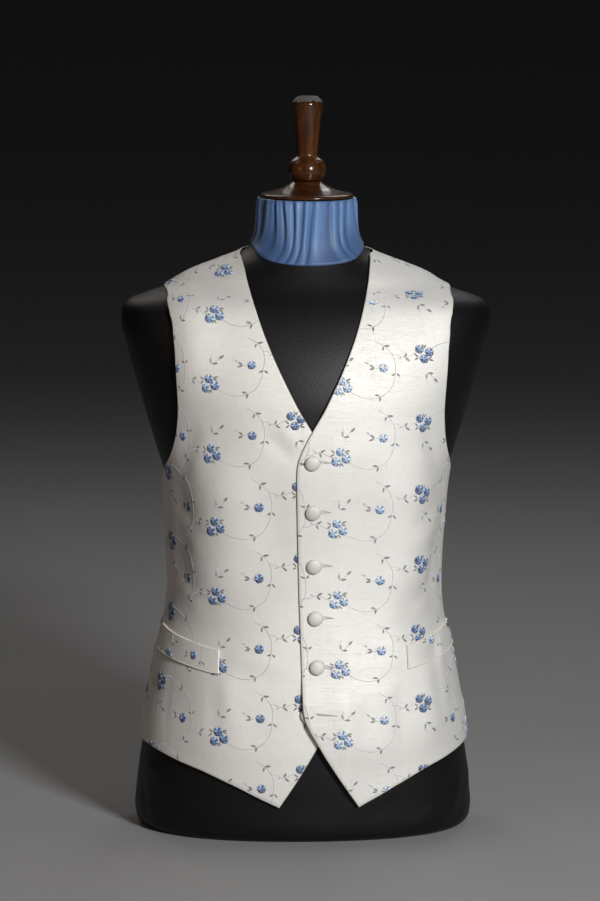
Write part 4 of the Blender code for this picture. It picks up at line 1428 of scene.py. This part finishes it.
# %% The neck cover
COVER_WALL, COVER_GAP, CAP_GAP = 1.4, 0.5, 0.3
COVER_LOW, COVER_DIP, COVER_ARCH = 643.0, 9.0, 12.0  # its lower edge dips in front, arches at the sides
COVER_RADIUS = 58.0  # on average
NECK_SIDES, NECK_LEVELS = 480, 26


def neck_cover():
    """A gathered tube round the neck, with a wall, a UV map and a "fold" attribute."""
    angle = np.linspace(0.0, 2 * math.pi, NECK_SIDES, endpoint=False)
    degrees = np.degrees(angle)
    side = np.where(degrees <= 180, 1.0, -1.0)
    turn = np.minimum(degrees, 360 - degrees)
    share = np.linspace(0.0, 1.0, NECK_LEVELS + 1)[:, None]
    bearing = np.radians(turn)
    low = COVER_LOW - COVER_DIP * np.cos(bearing) + COVER_ARCH * np.sin(bearing) ** 2
    height = low + (FORM_TOP - CAP_GAP - low) * share
    depth = 1.0 + 2.4 * smooth_step(share * 1.5)
    pinch = 1 - 0.35 * smooth_step((share - 0.86) / 0.14)
    swell = gather_wave(angle[None, :], share) * depth * pinch
    turn = np.broadcast_to(turn, height.shape)
    flip = np.stack([np.broadcast_to(side, height.shape)] + [np.ones(height.shape)] * 2, -1)
    outer = above(turn, height, COVER_GAP + COVER_WALL + swell) * flip
    inner = above(turn, height, COVER_GAP) * flip
    rows = NECK_LEVELS + 1
    points = np.concatenate([outer.reshape(-1, 3), inner.reshape(-1, 3)])
    index = np.arange(rows * NECK_SIDES).reshape(rows, NECK_SIDES)
    behind = index + rows * NECK_SIDES
    faces = quads(index, closed=True) + quads(behind, closed=True)
    for row in (0, rows - 1):
        faces += quads(np.stack([index[row], behind[row]]), closed=True)
    around = np.cumsum(np.full(NECK_SIDES, 2 * math.pi * COVER_RADIUS / NECK_SIDES))
    flat = np.stack([np.broadcast_to(around, height.shape), height], -1).reshape(-1, 2)
    piece = new_piece("neck_sateen", points, faces, np.concatenate([flat, flat]))
    # How far out the cloth stands, stored to paint shade into the hollows of the gathers.
    fold = np.concatenate([np.clip(swell / 2.6, 0, 1).ravel(), np.zeros(swell.size)])
    piece.data.attributes.new("fold", "FLOAT", "POINT").data.foreach_set("value", fold)
    return piece


pieces["neck"] = neck_cover()
print("neck", len(pieces["neck"].data.polygons), "faces")


# %% Blue sateen
def sateen_feeds(start):
    cloth = start.node("ShaderNodeUVMap", {"uv_map": "cloth"})
    fold = start.node("ShaderNodeAttribute", {"attribute_name": "fold"}, out="Fac")
    yarn = noise(cloth, (1500.0, 140.0, 1.0), 2.0)
    faded = noise(cloth, (22.0, 16.0, 1.0), 3.0)
    # Painted shade: the hollows of the gathers are darker, the crests paler.
    tone = blended(fold * 1.1 + faded * 0.4 - 0.25, (0.022, 0.055, 0.15, 1.0),
                   (0.095, 0.190, 0.385, 1.0))
    return {"Base Color": blended(yarn * 0.3, tone, (0.12, 0.23, 0.43, 1.0)),
            "Roughness": 0.42 + yarn * 0.16, "Normal": bumped(yarn, 0.12)}


sateen = new_finish("blue_cotton_sateen", {"Sheen Weight": 0.25, "Sheen Roughness": 0.4,
                                           "Specular IOR Level": 0.4}, sateen_feeds)
print("finish:", sateen.name)

# %% [markdown]
# ## Turned wood
#
# The cap and the handle above it are turned on a lathe and polished. The CAD profile has a point
# for each real bend; here each corner is cut off a few times over, which rounds it as a polisher
# would, and the profile is turned about its axis in many more steps.

# %% Cap and finial
CAP = ((0.0, 705.4), (50.6, 705.4), (51.8, 706.6), (51.6, 708.4), (49.6, 709.8), (42.0, 711.2),
       (32.0, 713.8), (24.0, 717.2), (18.5, 720.6), (15.6, 723.4), (0.0, 723.4))
FINIAL = ((0.0, 723.8), (14.6, 723.8), (17.6, 726.2), (20.6, 730.6), (21.8, 736.4), (20.6, 742.4),
          (17.4, 746.8), (13.2, 749.6), (11.4, 751.8), (11.7, 758.0), (13.0, 775.0), (15.2, 794.0),
          (17.6, 806.0), (18.0, 809.0), (17.2, 811.5), (11.0, 817.6), (0.0, 817.8))
WOOD_SIDES = 112


def polished(profile, passes=3):
    """Cuts each inner corner of a profile, again and again, until it is round."""
    points = np.array(profile, float)
    for _ in range(passes):
        near, far = points[1:-2], points[2:-1]
        cut = np.stack([near * 0.75 + far * 0.25, near * 0.25 + far * 0.75], 1).reshape(-1, 2)
        points = np.concatenate([points[:1], (points[:1] * 0.06 + points[1:2] * 0.94), cut,
                                 (points[-1:] * 0.06 + points[-2:-1] * 0.94), points[-1:]])
    return [tuple(point) for point in points]


for name, profile in (("cap", CAP), ("handle", FINIAL)):
    pieces[name] = new_piece(f"{name}_wood", *turned(polished(profile), WOOD_SIDES))
    print(name, len(pieces[name].data.polygons), "faces")

# %% Polished wood
WORN_FROM, NEVER_WORN = 811.5, 900.0  # heights in millimetres: the handle's end is scuffed


def wood_feeds(grain_scales, worn_from):
    """Grain along one direction, and paler, scuffed wood above a height."""
    def feeds(start):
        place = start.node("ShaderNodeTexCoord", out="Object")
        grain = noise(place, grain_scales, 4.0, 0.6, 0.4)
        fine = tuple(3.3 * scale for scale in grain_scales)
        pores = ((noise(place, fine, 2.0) - 0.56) * 8.0).clamped()
        cloud = noise(place, (16.0, 16.0, 16.0), 2.0)
        wood = start.node("ShaderNodeValToRGB", {"stops": (
            (0.30, (0.018, 0.0056, 0.0014)), (0.46, (0.038, 0.0118, 0.0026)),
            (0.60, (0.066, 0.0220, 0.0050)), (0.78, (0.115, 0.0410, 0.0105)))},
            {"Fac": grain * 0.7 + cloud * 0.3})
        wood = blended(pores * 0.35, wood, (0.010, 0.005, 0.003, 1.0))
        high = start.node("ShaderNodeSeparateXYZ", None, {0: place}, out="Z")
        worn = ((high + (noise(place, (170.0, 170.0, 170.0), 3.0) - 0.5) * 0.006
                 - worn_from * MM) * 700.0).clamped()
        return {
            "Base Color": blended(worn * 0.9, wood, (0.11, 0.106, 0.106, 1.0)),
            "Roughness": 0.34 + grain * 0.12 + worn * 0.3,
            "Coat Weight": 0.6 - worn * 0.5,
            "Normal": bumped(grain * 0.6 - pores * 0.4, 0.06),
        }

    return feeds


GLOSS = {"Coat Roughness": 0.08, "Specular IOR Level": 0.1}
handle_wood = new_finish("polished_wood_upright", GLOSS, wood_feeds((150.0, 150.0, 13.0), WORN_FROM))
cap_wood = new_finish("polished_wood_level", GLOSS, wood_feeds((16.0, 150.0, 150.0), NEVER_WORN))
print("finishes:", handle_wood.name, cap_wood.name)

# %% [markdown]
# ## Dressing the frame
#
# Every piece now gets its finish, rides on the model's one body, and stands for its CAD solid.

# %% Finishes and bodies
BUTTONS = [f"button_{n}" for n in range(1, 7)]
for target in laid.values():
    bpy.data.objects.remove(target)


def settle(piece, finish, slot, *nodes):
    """A finish, the body, and the CAD nodes that the piece stands for. The material slot is not used.
    """
    piece.data.materials.clear()
    piece.data.materials.append(finish)
    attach(piece, "root")
    if nodes:
        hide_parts(*nodes)


for name in ("right_front", "left_front"):
    settle(panels[name], silk, "silk", name)
for name in ("right_back", "left_back"):
    settle(panels[name], back_satin, "satin", name)
for name in ("right_welt", "left_welt"):
    settle(panels[name], welt_silk, "silk", name)
for name in BUTTONS:
    settle(pieces[name], button_silk, "button_satin", name)
for name in [n for n in pieces if n.endswith("embroidery")] + ["buttonholes"]:
    settle(pieces[name], thread, "silk")
settle(pieces["form"], jersey, "form_cover", "dress_form")
settle(pieces["neck"], sateen, "neck_sateen", "neck_cover")
settle(pieces["cap"], cap_wood, "wood", "neck_cap")
settle(pieces["handle"], handle_wood, "wood", "finial")
print("dressed:", len(panels), "cloth panels and", len(pieces), "other pieces")

# %% The size each sheet was cut to
CUTS = {  # flat width and length, and the area of the cut, in metres
    "right_front": ((0.255, 0.68), 0.120), "left_front": ((0.255, 0.68), 0.120),
    "right_back": ((0.235, 0.60), 0.106), "left_back": ((0.235, 0.60), 0.106),
    "right_welt": ((0.110, 0.0265), None), "left_welt": ((0.105, 0.0265), None),
    "neck": ((0.34, 0.066), None),
}


def sheet_area(piece):
    """The area of one side of a closed wall."""
    return sum(face.area for face in piece.data.polygons) / 2


for name, (flat, area) in CUTS.items():
    piece = panels.get(name) or pieces[name]
    held = "gathered" if name == "neck" else "laid" if name.endswith("welt") else "draped"
    rests = {"neck": ["dress_form"], "right_welt": ["right_front"],
             "left_welt": ["left_front"]}.get(name, ["dress_form"])
    with_pieces = [p for n, p in pieces.items() if n == f"{name}_embroidery"]
    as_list(rests)
    print(name, "measures", round(sheet_area(piece), 4), "square metres")

# %% [markdown]
# ## Floor and light
#
# The studio is a wide pale floor and a large soft light at the wearer's left front, which leaves the
# wearer's right side in a half shade. A weak warm fill lights that side, and three pairs of weak
# lights from above and behind pick out the shoulders and the polished wood.

# %% Floor
FLOOR_HALF = 60.0


def floor_feeds(start):
    place = start.node("ShaderNodeTexCoord", out="Object")
    mottle = noise(place, (3.0, 3.0, 3.0), 3.0)
    return {"Base Color": blended(mottle, (0.27, 0.27, 0.272, 1.0), (0.30, 0.30, 0.302, 1.0))}


floor_mesh = bpy.data.meshes.new("floor")
floor_mesh.from_pydata([(x * FLOOR_HALF, y * FLOOR_HALF, 0.0)
                        for x, y in ((-1, -1), (1, -1), (1, 1), (-1, 1))], [], [(0, 1, 2, 3)])
floor = bpy.data.objects.new("floor", floor_mesh)
bpy.context.scene.collection.objects.link(floor)
floor_mesh.materials.append(new_finish("pale_floor", {"Roughness": 0.7}, floor_feeds))
print("the floor is", 2 * FLOOR_HALF, "m wide")

# %% Lights
LIT = Vector((0.0, 0.0, 0.42))  # what the lights are aimed at


def softbox(name, turn, rise, distance, size, watts, colour=(1.0, 1.0, 1.0)):
    """A soft rectangle of light, turn degrees round from the front and rise degrees up."""
    turn, rise = math.radians(turn), math.radians(rise)
    data = bpy.data.lights.new(name, "AREA")
    data.shape, data.size, data.size_y = "RECTANGLE", *size
    data.energy, data.color = watts, colour
    light = bpy.data.objects.new(name, data)
    away = Vector((math.cos(rise) * math.sin(turn), -math.cos(rise) * math.cos(turn),
                   math.sin(rise)))
    light.location = LIT + away * distance
    light.rotation_euler = away.to_track_quat("Z", "Y").to_euler()
    bpy.context.scene.collection.objects.link(light)


softbox("key", 21, 19, 2.9, (0.5, 0.65), 80)
softbox("fill", -46, 15, 2.6, (0.6, 0.9), 2.8, (1.0, 0.60, 0.38))
softbox("left_top", -104, 54, 2.3, (0.3, 0.5), 1.0)
softbox("right_top", 104, 54, 2.3, (0.3, 0.5), 1.0)
softbox("strip_left", -175, 39, 2.6, (0.45, 0.8), 0.9)
softbox("strip_right", 166, 39, 2.6, (0.45, 0.8), 0.9)
softbox("back_left", -155, 42, 2.6, (0.8, 1.0), 6.5, (1.0, 0.93, 0.87))
softbox("back_right", 155, 42, 2.6, (0.8, 1.0), 6.0)
world = bpy.data.worlds.new("studio")
world.use_nodes = True
world.node_tree.nodes["Background"].inputs["Color"].default_value = (0.78, 0.79, 0.80, 1.0)
world.node_tree.nodes["Background"].inputs["Strength"].default_value = 0.017
bpy.context.scene.world = world
bpy.context.scene.view_settings.view_transform = "Standard"
